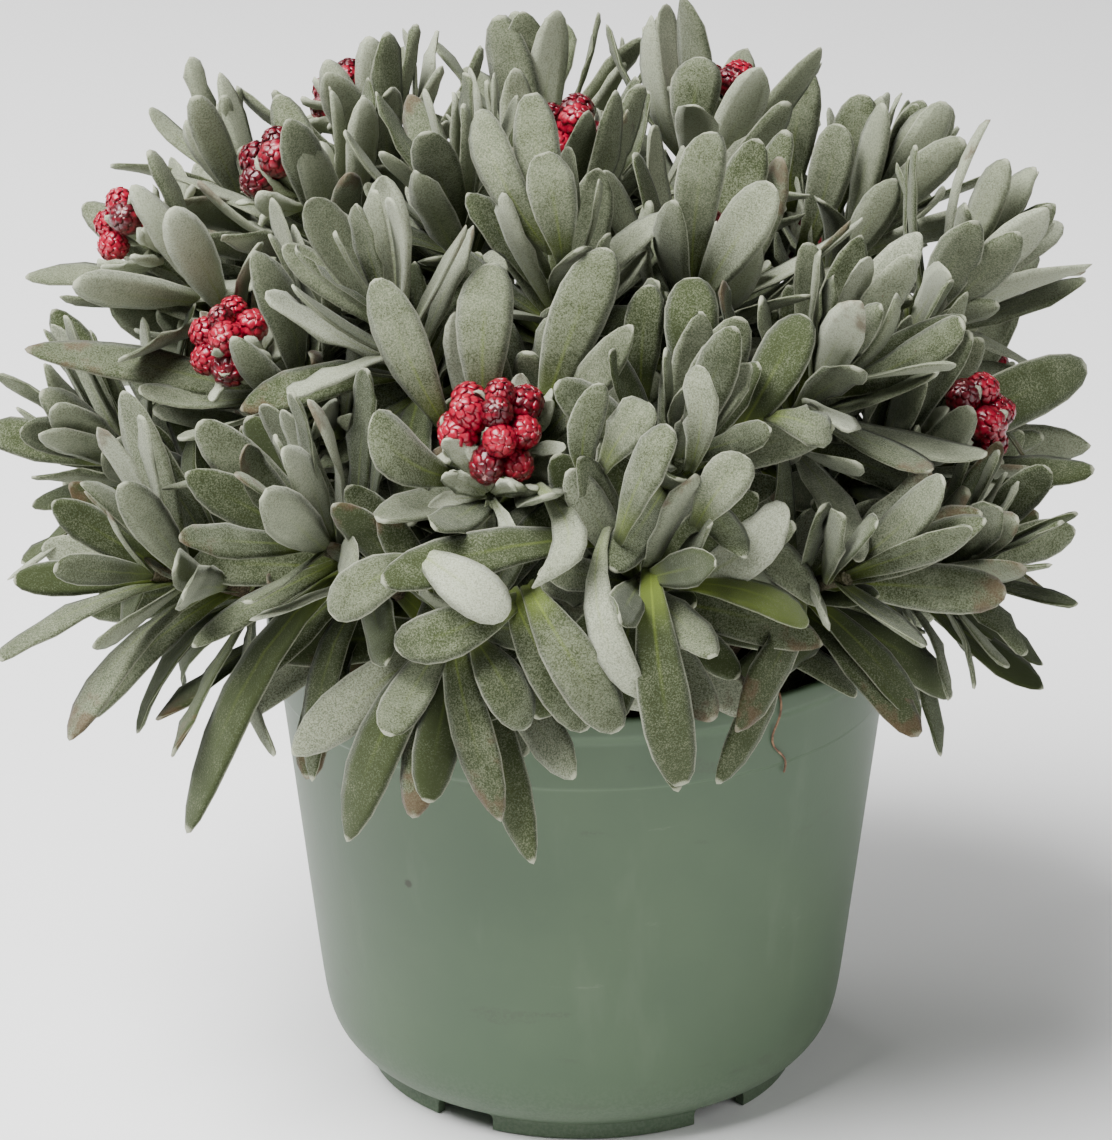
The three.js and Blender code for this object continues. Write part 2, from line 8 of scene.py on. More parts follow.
import bmesh
import bpy
import numpy as np
from bpy.props import FloatProperty, FloatVectorProperty, IntProperty, PointerProperty
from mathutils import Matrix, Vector, noise


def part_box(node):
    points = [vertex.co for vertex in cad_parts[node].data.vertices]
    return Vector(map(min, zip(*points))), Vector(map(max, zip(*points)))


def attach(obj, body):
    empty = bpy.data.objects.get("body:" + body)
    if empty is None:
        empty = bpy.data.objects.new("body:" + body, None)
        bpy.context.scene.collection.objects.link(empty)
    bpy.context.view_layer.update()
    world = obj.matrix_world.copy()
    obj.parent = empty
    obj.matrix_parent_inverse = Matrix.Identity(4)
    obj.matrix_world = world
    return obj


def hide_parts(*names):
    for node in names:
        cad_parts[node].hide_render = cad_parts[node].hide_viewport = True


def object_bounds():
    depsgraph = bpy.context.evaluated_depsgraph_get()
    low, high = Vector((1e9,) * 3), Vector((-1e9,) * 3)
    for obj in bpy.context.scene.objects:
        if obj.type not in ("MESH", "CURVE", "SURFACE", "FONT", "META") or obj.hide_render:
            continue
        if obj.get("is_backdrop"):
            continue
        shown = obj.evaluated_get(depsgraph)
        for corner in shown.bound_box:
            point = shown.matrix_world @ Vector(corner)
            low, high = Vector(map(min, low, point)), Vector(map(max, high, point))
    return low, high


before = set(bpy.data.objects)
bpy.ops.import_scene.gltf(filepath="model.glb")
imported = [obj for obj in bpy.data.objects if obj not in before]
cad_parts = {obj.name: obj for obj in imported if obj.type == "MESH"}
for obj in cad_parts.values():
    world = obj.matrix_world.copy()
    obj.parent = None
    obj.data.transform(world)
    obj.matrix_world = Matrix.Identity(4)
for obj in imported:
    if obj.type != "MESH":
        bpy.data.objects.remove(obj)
CAD_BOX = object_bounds()

bl_info = {
    "name": "Potted Helichrysum",
    "version": (1, 0, 0),
    "blender": (4, 5, 0),
    "location": "View3D > Sidebar > Helichrysum",
    "description": "Dresses a potted silver-leaved helichrysum in bud with fine leaves, buds and peat",
    "category": "Object",
}

MM = 0.001

# The stems
POT_HEIGHT = 101
SOIL_Z = 90.5
SOIL_MOUND = 2.5
SOIL_RELIEF = 0.6
SOIL_FLAT_RADIUS = 50
STEM_LOW_RADIUS = 2.1
STEM_TOP_RADIUS = 1.5
STEM_SIDES = 4
STEM_STEPS = 4
STEM_DEPTH = 12
STEM_LEAN = 0.35
STEM_RISE = 60
STEM_LOW_PULL = 0.45
STEM_TOP_PULL = 0.35
LOW_TIP_FAN = 0.42
HIGH_TIP_FAN = 0.25
LOW_TIP_Z = 115
HIGH_TIP_Z = 197
STEM_CLEARANCE = 0.8

# The leaves
LEAF_LONG = 43
LEAF_SHORT = 27
LEAF_BY_BUDS = 37
LEAF_WIDTH_LOW = 0.22
LEAF_WIDTH_TOP = 0.28
LEAF_KEEL = 1.3
KEEL_AT_TIP = 0.6
BLADE_WIDEST = 0.7
BLADE_FOOT = 0.3
LEAF_TILT_LOW = 80
LEAF_TILT_TOP = 18
BUD_TILT = 16
LEAF_STEM_SPAN = 30
REACHING_DOWN = 26
REACHING_STEP = 8
GOLDEN_DEG = 137.508
LENGTH_SCATTER = (0.88, 1.1)
WIDTH_SCATTER = (0.9, 1.1)
TURN_SCATTER = 12
TILT_SCATTER = 8
ROLL_SCATTER = 20
DROOP_SCATTER = (0.02, 0.2)
EARLY_LOW = 0.6
EARLY_TOP = 1.1
EARLY_BY_BUDS = 1.5
BEND_AT = 0.48
LONG_STATIONS = (0.15, 0.46, 0.82)
SHORT_STATIONS = (0.2, 0.74)
SHORT_LEAF = 41
POT_CLEARANCE = 1.5
SOIL_CLEARANCE = 2
BUD_CLEARANCE = 0.8
LIP_RADIUS = 65
BAND_LOW_RADIUS = 62.9
BAND_LOW_Z = 85.6
BODY_LOW_RADIUS = 54.3
BODY_LOW_Z = 16
WALL = 1.5
HIGHEST_FOOT = 0.02
REACH_TILT_SHARE = 0.3
REACH_EARLY = (0.8, 0.5, 0.25)
REACH_BEND_AT = 0.5
TRY_LENGTHS = (1, 0.86, 0.74)
TRY_TILTS = (1, 0.85, 1.14, 0.7, 0.55)
TRY_TURNS = (0, 12, -12, 24, -24)

# The buds
BUD_RADIUS = 3
BUD_LENGTH = 1.2
BUD_PACKING = 0.74
BUD_CAP = 1.15
BUD_DOWN = 6

# Each shoot: its name, the place of its tip or of the middle of its buds, its size and its number of
# leaves and of buds. The last ones fill the back.
SHOOTS = (
    ("top_middle", (-3, 18, 193), 0.92, 16, 8),
    ("top_right", (29, 45, 195), 0.95, 12, 6),
    ("top_left", (-48, 46, 194), 0.85, 12, 6),
    ("crown_back", (-10, 54, 187), 0.9, 11, 0),
    ("crown_left", (-76, 36, 182), 0.85, 10, 0),
    ("upper_left", (-60, 10, 189), 0.8, 13, 7),
    ("far_left", (-90, 4, 179), 0.85, 13, 6),
    ("upper_middle", (-26, -6, 186), 0.8, 12, 0),
    ("upper_right", (26, -20, 182), 1, 16, 5),
    ("right_crown", (62, 38, 173), 0.85, 11, 0),
    ("right_top", (80, 12, 168), 0.85, 11, 0),
    ("left_face", (-68, -24, 164), 0.95, 16, 8),
    ("middle_face", (-6, -32, 180), 0.75, 11, 0),
    ("left_inner", (-38, -42, 176), 0.75, 11, 0),
    ("right_inner", (48, -42, 164), 0.9, 13, 0),
    ("front_face", (-17, -64, 159), 0.95, 18, 12),
    ("right_face", (76, -20, 147), 0.95, 14, 8),
    ("front_right", (18, -68, 156), 0.8, 12, 0),
    ("front_low", (11, -80, 136), 0.9, 11, 0),
    ("low_right", (50, -64, 130), 0.9, 11, 0),
    ("far_right_low", (74, -40, 123), 0.78, 11, 0),
    ("low_left", (-52, -62, 136), 0.95, 12, 0),
    ("hanging", (-28, -80, 128), 0.95, 11, 0),
    ("far_left_low", (-98, -10, 137), 0.95, 12, 0),
    ("left_skirt", (-84, -46, 124), 1, 10, 0),
    ("right_low", (76, 6, 115), 0.72, 9, 0),
    ("left_low", (-82, 22, 115), 0.8, 9, 0),
    ("back_right", (46, 76, 154), 0.9, 13, 7),
    ("back_middle", (2, 82, 158), 0.9, 13, 6),
    ("back_left", (-42, 78, 152), 0.9, 11, 0),
    ("back_far_left", (-84, 46, 148), 0.9, 13, 7),
    ("back_far_right", (86, 44, 132), 0.9, 13, 6),
    ("back_low_left", (-66, 66, 116), 0.85, 10, 0),
    ("back_low_middle", (-16, 92, 118), 0.85, 10, 0),
    ("back_low_right", (34, 88, 116), 0.85, 10, 0),
)

# The tips of the leaves that reach furthest from their shoot.
REACHING = {
    "top_right": ((24, 38, 220), (44, 46, 213)),
    "top_left": ((-60, 42, 211),),
    "crown_back": ((-18, 50, 211), (-6, 52, 212)),
    "crown_left": ((-72, 36, 203),),
    "far_left": ((-113, 10, 167), (-91, 20, 200)),
    "right_crown": ((52, 34, 204), (76, 24, 190)),
    "right_top": ((102, 0, 172), (96, 24, 173), (92, 14, 188)),
    "left_face": ((-110, -18, 158),),
    "right_face": ((104, 2, 151), (99, -4, 160)),
    "front_low": ((17, -87, 96), (4, -92, 107), (-11, -90, 109)),
    "low_right": ((60, -68, 100), (28, -85, 108)),
    "far_right_low": ((70, -52, 104), (83, -42, 109)),
    "low_left": ((-53, -74, 92), (-74, -68, 79)),
    "hanging": ((-32, -84, 90), (-46, -80, 82), (-16, -88, 91)),
    "far_left_low": ((-112, -32, 115), (-114, -12, 140)),
    "left_skirt": ((-88, -54, 96), (-99, -64, 96), (-112, -62, 111)),
}
BUSH_HEART = np.array((0.0, 0.0, 98.0))
UP = np.array((0.0, 0.0, 1.0))

# The leaves that only the fine model has, for each shoot: how many, how far below the tip, how tilted,
# how long, how wide for their length and how early they bend, each from the first to the last, and then
# how green they are and how much they turn up.
YOUNG, MIDDLE, SKIRT, INNER = "young", "middle", "skirt", "inner"
MORE_LEAVES = {
    YOUNG: dict(
        count=9, down=(0, 9), tilt=(2, 24), length=(24, 36), width=(0.23, 0.26),
        early=(0.9, 1.7), green=0.05, up=0.45,
    ),
    MIDDLE: dict(
        count=13, down=(4, 24), tilt=(10, 46), length=(34, 43), width=(0.27, 0.25),
        early=(0.8, 1.5), green=0.25, up=0.4,
    ),
    SKIRT: dict(
        count=8, down=(15, 42), tilt=(48, 98), length=(34, 45), width=(0.25, 0.24),
        early=(0.55, 1.2), green=0.65, up=0,
    ),
    INNER: dict(
        count=9, down=(24, 62), tilt=(28, 75), length=(30, 38), width=(0.26, 0.26),
        early=(0.6, 1.2), green=0.8, up=0.3,
    ),
}
MORE_TURN_SCATTER = 30
MORE_TILT_SCATTER = 12
MORE_ROLL_SCATTER = 30
MORE_LENGTH_SCATTER = (0.85, 1.15)
MORE_WIDTH_SCATTER = (0.9, 1.15)
MORE_DROOP_SCATTER = (0.0, 0.3)
MORE_DROOP_SHARE = 0.6
MORE_UP_SCATTER = (0.6, 1.15)
MORE_LENGTHS = (1, 0.82)
MORE_TILTS = (1, 0.78, 1.22, 0.55)
MORE_TURNS = (0, 14, -14, 28, -28, 45, -45, 65, -65)
MORE_ROOM = 0.62
BUD_LEAVES = dict(tilt=(13, 32), early=(1.8, 2.5), length=(28, 35))
# A leaf of the first length reaches further than its solid by the second value, and so on to the last.
LENGTHENED = (20, 1.28, 40, 1.0)
# The bush's rounded outline, and how far out and how low the further leaves may reach.
DOME_RADIUS = 118
DOME_HEIGHT = 123
MORE_DOME = 0.9
MORE_LOWEST = 95
MORE_FACING = 0.9
# A leaf that pierces another is drawn in to these shares, tested at these shares of its length.
DRAWN_IN = (1, 0.88, 0.76)
OUTER_STATIONS = (0.3, 0.5, 0.7, 0.88)
# A fine leaf's width: its least, its gain with the leaf's length and its most for that length.
FULL_WIDTH = (5.1, 0.105, 0.27)
FULL_WIDTH_SCATTER = (0.86, 1.12)
FINE_WIDEST = 0.69
# A shoot is low from this height down, and fully so after this span. Left, where the leaves are made paler as
# painted light from the left, is counted in the same way.
LOW_FROM_Z = 165
LOW_SPAN = 45
LEFT_FROM_X = -15
LEFT_SPAN = 55

# The seeds of the numbers that vary the leaves and buds
LEAF_SEED = 7919
LEAF_LOOK_SEED = 6151
MORE_SEED = 104729
MORE_KIND_SEED = 7907
SINGLE_SEED = 48271
COLLAR_SEED = 7717
BRACT_SEED = 8887
CURLED_SEED = 9973
BUD_SEED = 104729
BUD_LOOK_SEED = 15485863

# Single leaves that stand out at the front and at the crown: their shoot, foot, bend, tip, the way their
# upper side faces, width, tone and green.
FEATURED = (
    ("hanging", (-31, -83, 142), (-25, -98, 144), (-14, -97, 135), (0.1, -0.9, 0.4), 10, 1.2, 0),
    ("front_face", (-9, -70, 151), (3, -98, 150), (-9, -93, 139), (-0.3, -0.9, 0.2), 8, 0.85, 0.1),
    ("front_low", (4, -78, 145), (-2, -101, 138), (10, -95, 118), (-0.5, -0.8, 0.2), 7.5, 0.95, 0.15),
    ("front_low", (20, -72, 133), (27, -86, 139), (38, -80, 149), (-0.2, -0.8, 0.6), 11, 1.1, 0.3),
    ("front_low", (5, -73, 141), (-14, -88, 148), (-37, -87, 137), (0, -0.6, 0.8), 10, 0.35, 0.75),
    ("hanging", (-12, -80, 132), (-20, -99, 134), (-36, -92, 126), (0, -0.7, 0.7), 10.5, 0.45, 0.6),
    ("front_low", (-11, -80, 135), (-6, -104, 134), (7, -92, 109), (-0.2, -0.9, 0.4), 10.5, 0.6, 0.5),
    ("front_low", (-14, -78, 133), (-11, -98, 131), (2, -88, 107), (0, -0.9, 0.4), 9.5, 0.45, 0.6),
    ("hanging", (-21, -80, 124), (-17, -100, 127), (-11, -90, 110), (0.2, -0.9, 0.4), 9.5, 0.4, 0.6),
    ("low_left", (-28, -76, 138), (-38, -95, 145), (-47, -87, 131), (-0.1, -0.7, 0.7), 10, 0.6, 0.4),
    ("low_right", (18, -76, 133), (30, -93, 140), (43, -84, 129), (0.1, -0.5, 0.85), 8.5, 0.4, 1.35),
    ("front_low", (12, -78, 139), (12, -107, 130), (18, -92, 99), (0, -0.9, 0.4), 10, 0.35, 0.85),
    ("front_face", (-19, -54, 158), (-20, -62, 176), (-18, -48, 188), (0, -0.9, 0.4), 11, 0.6, 0.2),
    ("front_face", (-8, -54, 158), (-4, -64, 178), (4, -50, 190), (0.1, -0.9, 0.4), 11, 0.5, 0.3),
    ("front_face", (-26, -56, 157), (-34, -62, 172), (-37, -50, 183), (-0.2, -0.9, 0.4), 10, 0.65, 0.2),
    ("front_face", (-24, -64, 150), (-34, -80, 157), (-40, -74, 165), (0.2, -0.8, 0.6), 11, 0.3, 0.1),
    ("top_right", (43, 40, 172), (43, 36, 188), (46, 42, 202), (0, -0.95, 0.3), 9.5, 0.6, 0.3),
    ("right_crown", (51, 38, 168), (54, 33, 186), (58, 38, 198), (0.1, -0.95, 0.3), 9, 0.5, 0.3),
    ("right_crown", (45, 34, 163), (51, 26, 181), (52, 28, 194), (0, -0.95, 0.3), 9, 0.7, 0.3),
    ("front_right", (28, -60, 156), (34, -72, 171), (41, -60, 182), (-0.3, -0.8, 0.5), 11, 0.2, 0.7),
    ("front_right", (11, -50, 158), (10, -60, 174), (12, -50, 184), (0.3, -0.9, 0.2), 8, 0.25, 0.4),
    ("front_right", (20, -50, 158), (20, -62, 176), (20, -50, 186), (0, -0.9, 0.3), 10.5, 0.15, 0.5),
    ("front_right", (19, -80, 157), (22, -92, 170), (20, -86, 180), (-0.4, -0.9, 0.3), 7.5, 0.75, 0.1),
    ("front_right", (3, -76, 156), (6, -88, 168), (12, -84, 172), (0.1, -0.7, 0.7), 9, 0.6, 0.2),
    ("front_right", (0, -76, 154), (-2, -86, 165), (2, -80, 174), (0.3, -0.9, 0.2), 7, 0.5, 0.3),
    ("front_right", (6, -82, 144), (9, -98, 162), (15, -94, 171), (-0.4, -0.8, 0.4), 8.5, 0.6, 0.4),
    ("front_right", (20, -86, 148), (23, -99, 160), (29, -93, 165), (0.1, -0.8, 0.6), 9, 0.7, 0.2),
    ("front_right", (34, -66, 163), (40, -76, 167), (46, -74, 161), (0, -0.7, 0.7), 8, 0.6, 0.25),
    ("upper_right", (22, -26, 173), (27, -44, 189), (36, -36, 199), (-0.3, -0.9, 0.4), 11, 0.75, 0.1),
    ("upper_right", (21, -26, 175), (20, -42, 197), (24, -34, 210), (0.2, -0.95, 0.2), 9.5, 0.6, 0.2),
    ("top_right", (22, 32, 185), (22, 26, 199), (24, 32, 207), (0.1, -0.95, 0.3), 10.5, 0.5, 0.2),
    ("middle_face", (-4, -44, 186), (-5, -56, 200), (-8, -46, 208), (0.2, -0.9, 0.4), 9.5, 0.55, 0.1),
    ("middle_face", (-6, -40, 187), (-9, -48, 204), (-10, -30, 215), (0.1, -0.95, 0.2), 9, 0.5, 0.1),
    ("middle_face", (-7, -40, 188), (-16, -50, 202), (-21, -34, 214), (-0.2, -0.95, 0.2), 8.5, 0.65, 0.05),
)
# The shoots without young leaves at their heart, because the single leaves take their place.
LOOSE = ("front_right", "middle_face", "front_low")
# Small curled leaves under the front cluster: their shoot, middle and direction.
CURLED_TUFT = ("front_face", (-18, -68, 148), (-0.05, -0.9, 0.15))

POT_AXIS = sum(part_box("pot"), Vector()) / 2
POT_PLACE = np.array((POT_AXIS.x, POT_AXIS.y, 0.0))


def in_frame(points):
    """Points in millimetres about the pot's axis, as metres in the row's frame."""
    return np.asarray(points, float) * MM + POT_PLACE


def mix(low, high, share):
    return (1 - share) * low + share * high


def clamped(value):
    return min(1, max(0, value))


def unit(v):
    return v / math.sqrt(v @ v)


def number_stream(seed):
    """Numbers from 0 to 1, the same ones on each run."""
    state = seed & 0xFFFFFFFF

    def draw():
        nonlocal state
        state = (state * 1664525 + 1013904223) & 0xFFFFFFFF
        return state / 4294967296

    return draw


def turned(v, axis, angle):
    """v turned about a unit axis."""
    across = np.cross(axis, v)
    return v * math.cos(angle) + across * math.sin(angle) + axis * ((axis @ v) * (1 - math.cos(angle)))


def curve_point(points, t):
    """A point of a quadratic or cubic Bezier curve."""
    k = 1 - t
    if len(points) == 3:
        return points[0] * (k * k) + points[1] * (2 * k * t) + points[2] * (t * t)
    shares = (k * k * k, 3 * k * k * t, 3 * k * t * t, t * t * t)
    return sum(point * share for point, share in zip(points, shares))


def curve_way(points, t):
    """The unit direction of a Bezier curve."""
    near = 0.0001
    return unit(curve_point(points, min(1, t + near)) - curve_point(points, max(0, t - near)))


def ring_about(centre, ahead, radius, sides):
    side = unit(np.cross(UP, ahead))
    other = unit(np.cross(ahead, side))
    turns = [2 * math.pi * k / sides for k in range(sides)]
    return np.array([centre + side * (radius * math.cos(a)) + other * (radius * math.sin(a)) for a in turns])


@functools.lru_cache(maxsize=None)
def loft_faces(size, rings, rooted, pointed):
    """The triangles and edges of a closed skin over rings of corners, with the root and tip last."""
    faces = []
    last = (rings - 1) * size
    root = rings * size
    tip = root + rooted
    if rooted:
        faces += [(root, (k + 1) % size, k) for k in range(size)]
    else:
        faces += [(0, k + 1, k) for k in range(1, size - 1)]
    for ring in range(rings - 1):
        for k in range(size):
            a, b = ring * size + k, ring * size + (k + 1) % size
            faces += [(a, b, b + size), (a, b + size, a + size)]
    if pointed:
        faces += [(last + k, last + (k + 1) % size, tip) for k in range(size)]
    else:
        faces += [(last, last + k, last + k + 1) for k in range(1, size - 1)]
    edges = {(min(pair), max(pair)) for a, b, c in faces for pair in ((a, b), (b, c), (c, a))}
    return np.array(faces), np.array(sorted(edges))


class Skin:
    """A closed skin's triangles, edges and box, ready for the crossing test."""

    def __init__(self, rings, root=None, tip=None):
        corners = np.concatenate(rings)
        ends = [end[None] for end in (root, tip) if end is not None]
        corners = np.concatenate([corners, *ends])
        faces, edges = loft_faces(len(rings[0]), len(rings), root is not None, tip is not None)
        self.faces = corners[faces]
        normals = np.cross(self.faces[:, 2] - self.faces[:, 1], self.faces[:, 0] - self.faces[:, 1])
        self.normals = normals / np.maximum(1e-12, np.linalg.norm(normals, axis=1))[:, None]
        self.edges = corners[edges]
        self.low, self.high = corners.min(0), corners.max(0)


def dots(a, b):
    return np.einsum("ij,ij->i", a, b)


def pierces(edges, faces, normals):
    """True where one of the edges passes through one of the faces."""
    level = dots(normals, faces[:, 0])
    start = edges[:, 0] @ normals.T - level
    end = edges[:, 1] @ normals.T - level
    e, f = np.nonzero((start * end <= 0) & (start != end))
    if not len(e):
        return False
    share = start[e, f] / (start[e, f] - end[e, f])
    point = edges[e, 0] + (edges[e, 1] - edges[e, 0]) * share[:, None]
    a = faces[f, 0]
    v0, v1, v2 = faces[f, 2] - a, faces[f, 1] - a, point - a
    d00, d01, d02, d11, d12 = dots(v0, v0), dots(v0, v1), dots(v0, v2), dots(v1, v1), dots(v1, v2)
    whole = d00 * d11 - d01 * d01
    whole[whole == 0] = np.inf
    u = (d11 * d02 - d01 * d12) / whole
    v = (d00 * d12 - d01 * d02) / whole
    return bool(((u >= 0) & (v >= 0) & (u + v <= 1)).any())


def crosses(skin, others):
    """True where a skin crosses one of the others, whose boxes it meets."""
    if not others:
        return False
    faces = np.concatenate([other.faces for other in others])
    normals = np.concatenate([other.normals for other in others])
    edges = np.concatenate([other.edges for other in others])
    return pierces(skin.edges, faces, normals) or pierces(edges, skin.faces, skin.normals)


class Stem:
    """A shoot's stem: it rises from the peat, fans out and turns up along the shoot's own axis."""

    def __init__(self, shoot):
        self.name, place, self.size, self.leaves, self.buds = shoot
        self.bud_ring = BUD_RADIUS * BUD_PACKING * math.sqrt(self.buds)
        self.bud_middle = np.array(place, float)
        self.axis = unit(self.bud_middle - BUSH_HEART)
        self.tip = self.bud_middle - self.axis * self.bud_ring
        share = (self.tip[2] - LOW_TIP_Z) / (HIGH_TIP_Z - LOW_TIP_Z)
        fan = LOW_TIP_FAN + share * (HIGH_TIP_FAN - LOW_TIP_FAN)
        foot = np.array((self.tip[0] * fan, self.tip[1] * fan, SOIL_Z - STEM_DEPTH))
        rise = unit(np.array((self.tip[0] * STEM_LEAN, self.tip[1] * STEM_LEAN, STEM_RISE)))
        reach = math.dist(foot, self.tip)
        after = foot + rise * (reach * STEM_LOW_PULL)
        before = self.tip - self.axis * (reach * STEM_TOP_PULL)
        self.curve = (foot, after, before, self.tip)
        self.bud_reach = self.bud_ring + BUD_RADIUS * BUD_LENGTH if self.buds else 0
        line = self.points(200)
        self.length = sum(math.dist(a, b) for a, b in zip(line, line[1:]))
        self.room = Skin([self.ring(k / STEM_STEPS) for k in range(STEM_STEPS + 1)])

    def points(self, steps):
        return [curve_point(self.curve, k / steps) for k in range(steps + 1)]

    def ring(self, t):
        radius = mix(STEM_LOW_RADIUS, STEM_TOP_RADIUS, t) + STEM_CLEARANCE
        return ring_about(curve_point(self.curve, t), curve_way(self.curve, t), radius, STEM_SIDES)


def blade_width(s):
    """Half the blade's width at a share s of its length, where 1 is its widest."""
    if s > BLADE_WIDEST:
        beyond = (s - BLADE_WIDEST) / (1 - BLADE_WIDEST)
        return math.sqrt(max(0, 1 - beyond**2.4))
    swell = math.sin((math.pi / 2) * (s / BLADE_WIDEST))
    return BLADE_FOOT + (1 - BLADE_FOOT) * swell**1.4


def looking_out(side, way, place):
    """A leaf's side turned so that one of its faces looks more out of the bush."""
    face = np.cross(side, way)
    out = unit(place - BUSH_HEART) * MORE_FACING
    return unit(np.cross(way, face + out if face @ out >= 0 else face - out))


class Blade:
    """A leaf at one place: its middle line, its sideways direction and the skins that keep it clear."""

    def __init__(self, stem, leaf, length_share, tilt_share, turn_more):
        start = curve_point(stem.curve, max(HIGHEST_FOOT, 1 - leaf["down"] / stem.length))
        if "line" in leaf:
            start, bend, tip = (np.array(point, float) for point in leaf["line"])
            self.length = math.dist(start, tip)
            self.side = unit(np.array(leaf["side"], float))
        elif "reach" in leaf:
            way = leaf["reach"] - start
            tip = start + way * (length_share * mix(1, tilt_share, REACH_TILT_SHARE))
            self.length = math.dist(start, tip)
            way = unit(way)
            self.side = unit(np.cross(way, stem.axis))
            ahead, along, up = REACH_EARLY
            early = unit(way * ahead + stem.axis * along + UP * up)
            bend = start + early * (self.length * REACH_BEND_AT)
        else:
            tilt = leaf["tilt"] * tilt_share
            axis = leaf.get("axis", stem.axis)
            across = unit(np.cross(axis, UP))
            outward = turned(across, axis, leaf["turn"] + math.radians(turn_more))

            def towards(angle):
                return axis * math.cos(angle) + outward * math.sin(angle)

            self.length = leaf["length"] * length_share
            bend = start + towards(tilt * leaf["early"]) * (self.length * BEND_AT)
            tip = start + towards(tilt) * self.length
            tip[2] -= self.length * leaf["droop"] * math.sin(tilt)
            self.side = unit(turned(np.cross(outward, axis), towards(tilt), leaf["roll"]))
            if "room" in leaf:
                self.side = looking_out(self.side, towards(tilt), start)
        self.line = (start, bend, tip)
        self.half = (leaf["width"] / 2) * self.length
        self.look = leaf["look"]
        self.as_is = "line" in leaf
        self.further = "room" in leaf
        self.deep = leaf.get("deep", False)
        stations = LONG_STATIONS if self.length > SHORT_LEAF else SHORT_STATIONS
        rings = [self.ring(s) for s in stations]
        between = [a + (b - a) * share for a, b in zip(rings, rings[1:]) for share in (0, 0.25, 0.5, 0.75)]
        self.points = np.concatenate([*between, rings[-1], rings[-1] * 0.5 + tip * 0.5, tip[None]])
        tight = [self.ring(s, leaf.get("room", 1)) for s in stations]
        self.whole = Skin(tight, root=start, tip=tip)
        self.free = Skin(tight, tip=tip)

    def ring(self, s, room=1):
        middle = curve_point(self.line, s)
        half = self.half * room * blade_width(s)
        down = unit(np.cross(curve_way(self.line, s), self.side))
        keel = middle + down * (LEAF_KEEL * mix(1, KEEL_AT_TIP, s))
        return np.array((middle + self.side * half, keel, middle - self.side * half))


def soil_height(x, y):
    share = np.minimum(1, np.hypot(x, y) / SOIL_FLAT_RADIUS)
    relief = np.sin(x * 0.31 + 1) * np.cos(y * 0.27) + np.sin((x - y) * 0.17)
    return SOIL_Z + SOIL_MOUND * (1 - share * share) + SOIL_RELIEF * relief * (1 - share)


def dome_share(point):
    """How far a point lies towards the bush's rounded outline, where 1 is on it."""
    across, up = math.hypot(point[0], point[1]) / DOME_RADIUS, (point[2] - BUSH_HEART[2]) / DOME_HEIGHT
    return across**3 + max(0, up) ** 3


def clear_of_pot(points):
    """True where every point keeps clear of the pot's wall and of the peat."""
    x, y, z = points.T
    r = np.hypot(x, y)
    up = np.maximum(0, z - BODY_LOW_Z) / (BAND_LOW_Z - BODY_LOW_Z)
    wall = np.where(z > BAND_LOW_Z, LIP_RADIUS, mix(BODY_LOW_RADIUS, BAND_LOW_RADIUS, up))
    inside = r < BAND_LOW_RADIUS - 2 * WALL - POT_CLEARANCE
    above_soil = z > soil_height(x, y) + SOIL_CLEARANCE
    beside = (r > wall + POT_CLEARANCE) & (z > 4 * POT_CLEARANCE)
    return bool(np.where(inside, above_soil, beside | (z > POT_HEIGHT + POT_CLEARANCE)).all())


class Bush:
    """All the stems with the leaves that have grown so far."""

    def __init__(self):
        self.stems = [Stem(shoot) for shoot in SHOOTS]
        self.grown = []
        self.stem_low = np.array([stem.room.low for stem in self.stems])
        self.stem_high = np.array([stem.room.high for stem in self.stems])
        self.leaf_stem, self.low, self.high = [], [], []

    def fits(self, blade, index):
        tip = blade.line[2]
        if blade.further and (dome_share(tip) > MORE_DOME or tip[2] < MORE_LOWEST):
            return False
        if not clear_of_pot(blade.points):
            return False
        for stem in self.stems:
            room = stem.bud_reach + BUD_CLEARANCE
            if stem.bud_reach and (np.linalg.norm(blade.points - stem.bud_middle, axis=1) <= room).any():
                return False
        low, high = blade.whole.low, blade.whole.high
        near = np.nonzero((self.stem_low <= high).all(1) & (self.stem_high >= low).all(1))[0]
        if crosses(blade.whole, [self.stems[i].room for i in near if i != index]):
            return False
        if not self.grown:
            return True
        near = np.nonzero((np.array(self.low) <= high).all(1) & (np.array(self.high) >= low).all(1))[0]
        own = [self.grown[i].free for i in near if self.leaf_stem[i] == index]
        others = [self.grown[i].whole for i in near if self.leaf_stem[i] != index]
        return not crosses(blade.free, own) and not crosses(blade.whole, others)

    def grow(self, leaf, index, lengths=TRY_LENGTHS, tilts=TRY_TILTS, turns=TRY_TURNS):
        """A wished leaf takes the first length, tilt and turn at which it crosses nothing."""
        for length in lengths:
            for tilt in tilts:
                for turn in turns:
                    blade = Blade(self.stems[index], leaf, length, tilt, turn)
                    if self.fits(blade, index):
                        self.keep(blade, index)
                        return

    def keep(self, blade, index):
        self.grown.append(blade)
        self.leaf_stem.append(index)
        self.low.append(blade.whole.low)
        self.high.append(blade.whole.high)


def leaf_look(draw, green, young=0.0):
    """How one leaf differs from the next: its tone and the details of its shape."""
    return {
        # A leaf's tone rises with young, which for the high left shoots also holds painted light from the left.
        "tone": draw() + 0.3 * young,
        "green": clamped(green + (draw() - 0.5) * 0.3),
        "brown": 1.0 if draw() < 0.03 + 0.27 * green else 0.0,
        "blunt": mix(0.44, 0.76, draw()),
        "cup": mix(-0.4, 1.3, draw()) + 0.7 * max(0, young),
        "wave": mix(0.05, 0.7, draw() ** 2),
        "phase": draw() * 2 * math.pi,
        "curl": mix(-0.08, 0.1, draw()) * (2.2 if draw() < 0.15 else 1),
        "twist": (draw() - 0.5) * 0.9,
        "fold": draw() ** 2,
    }


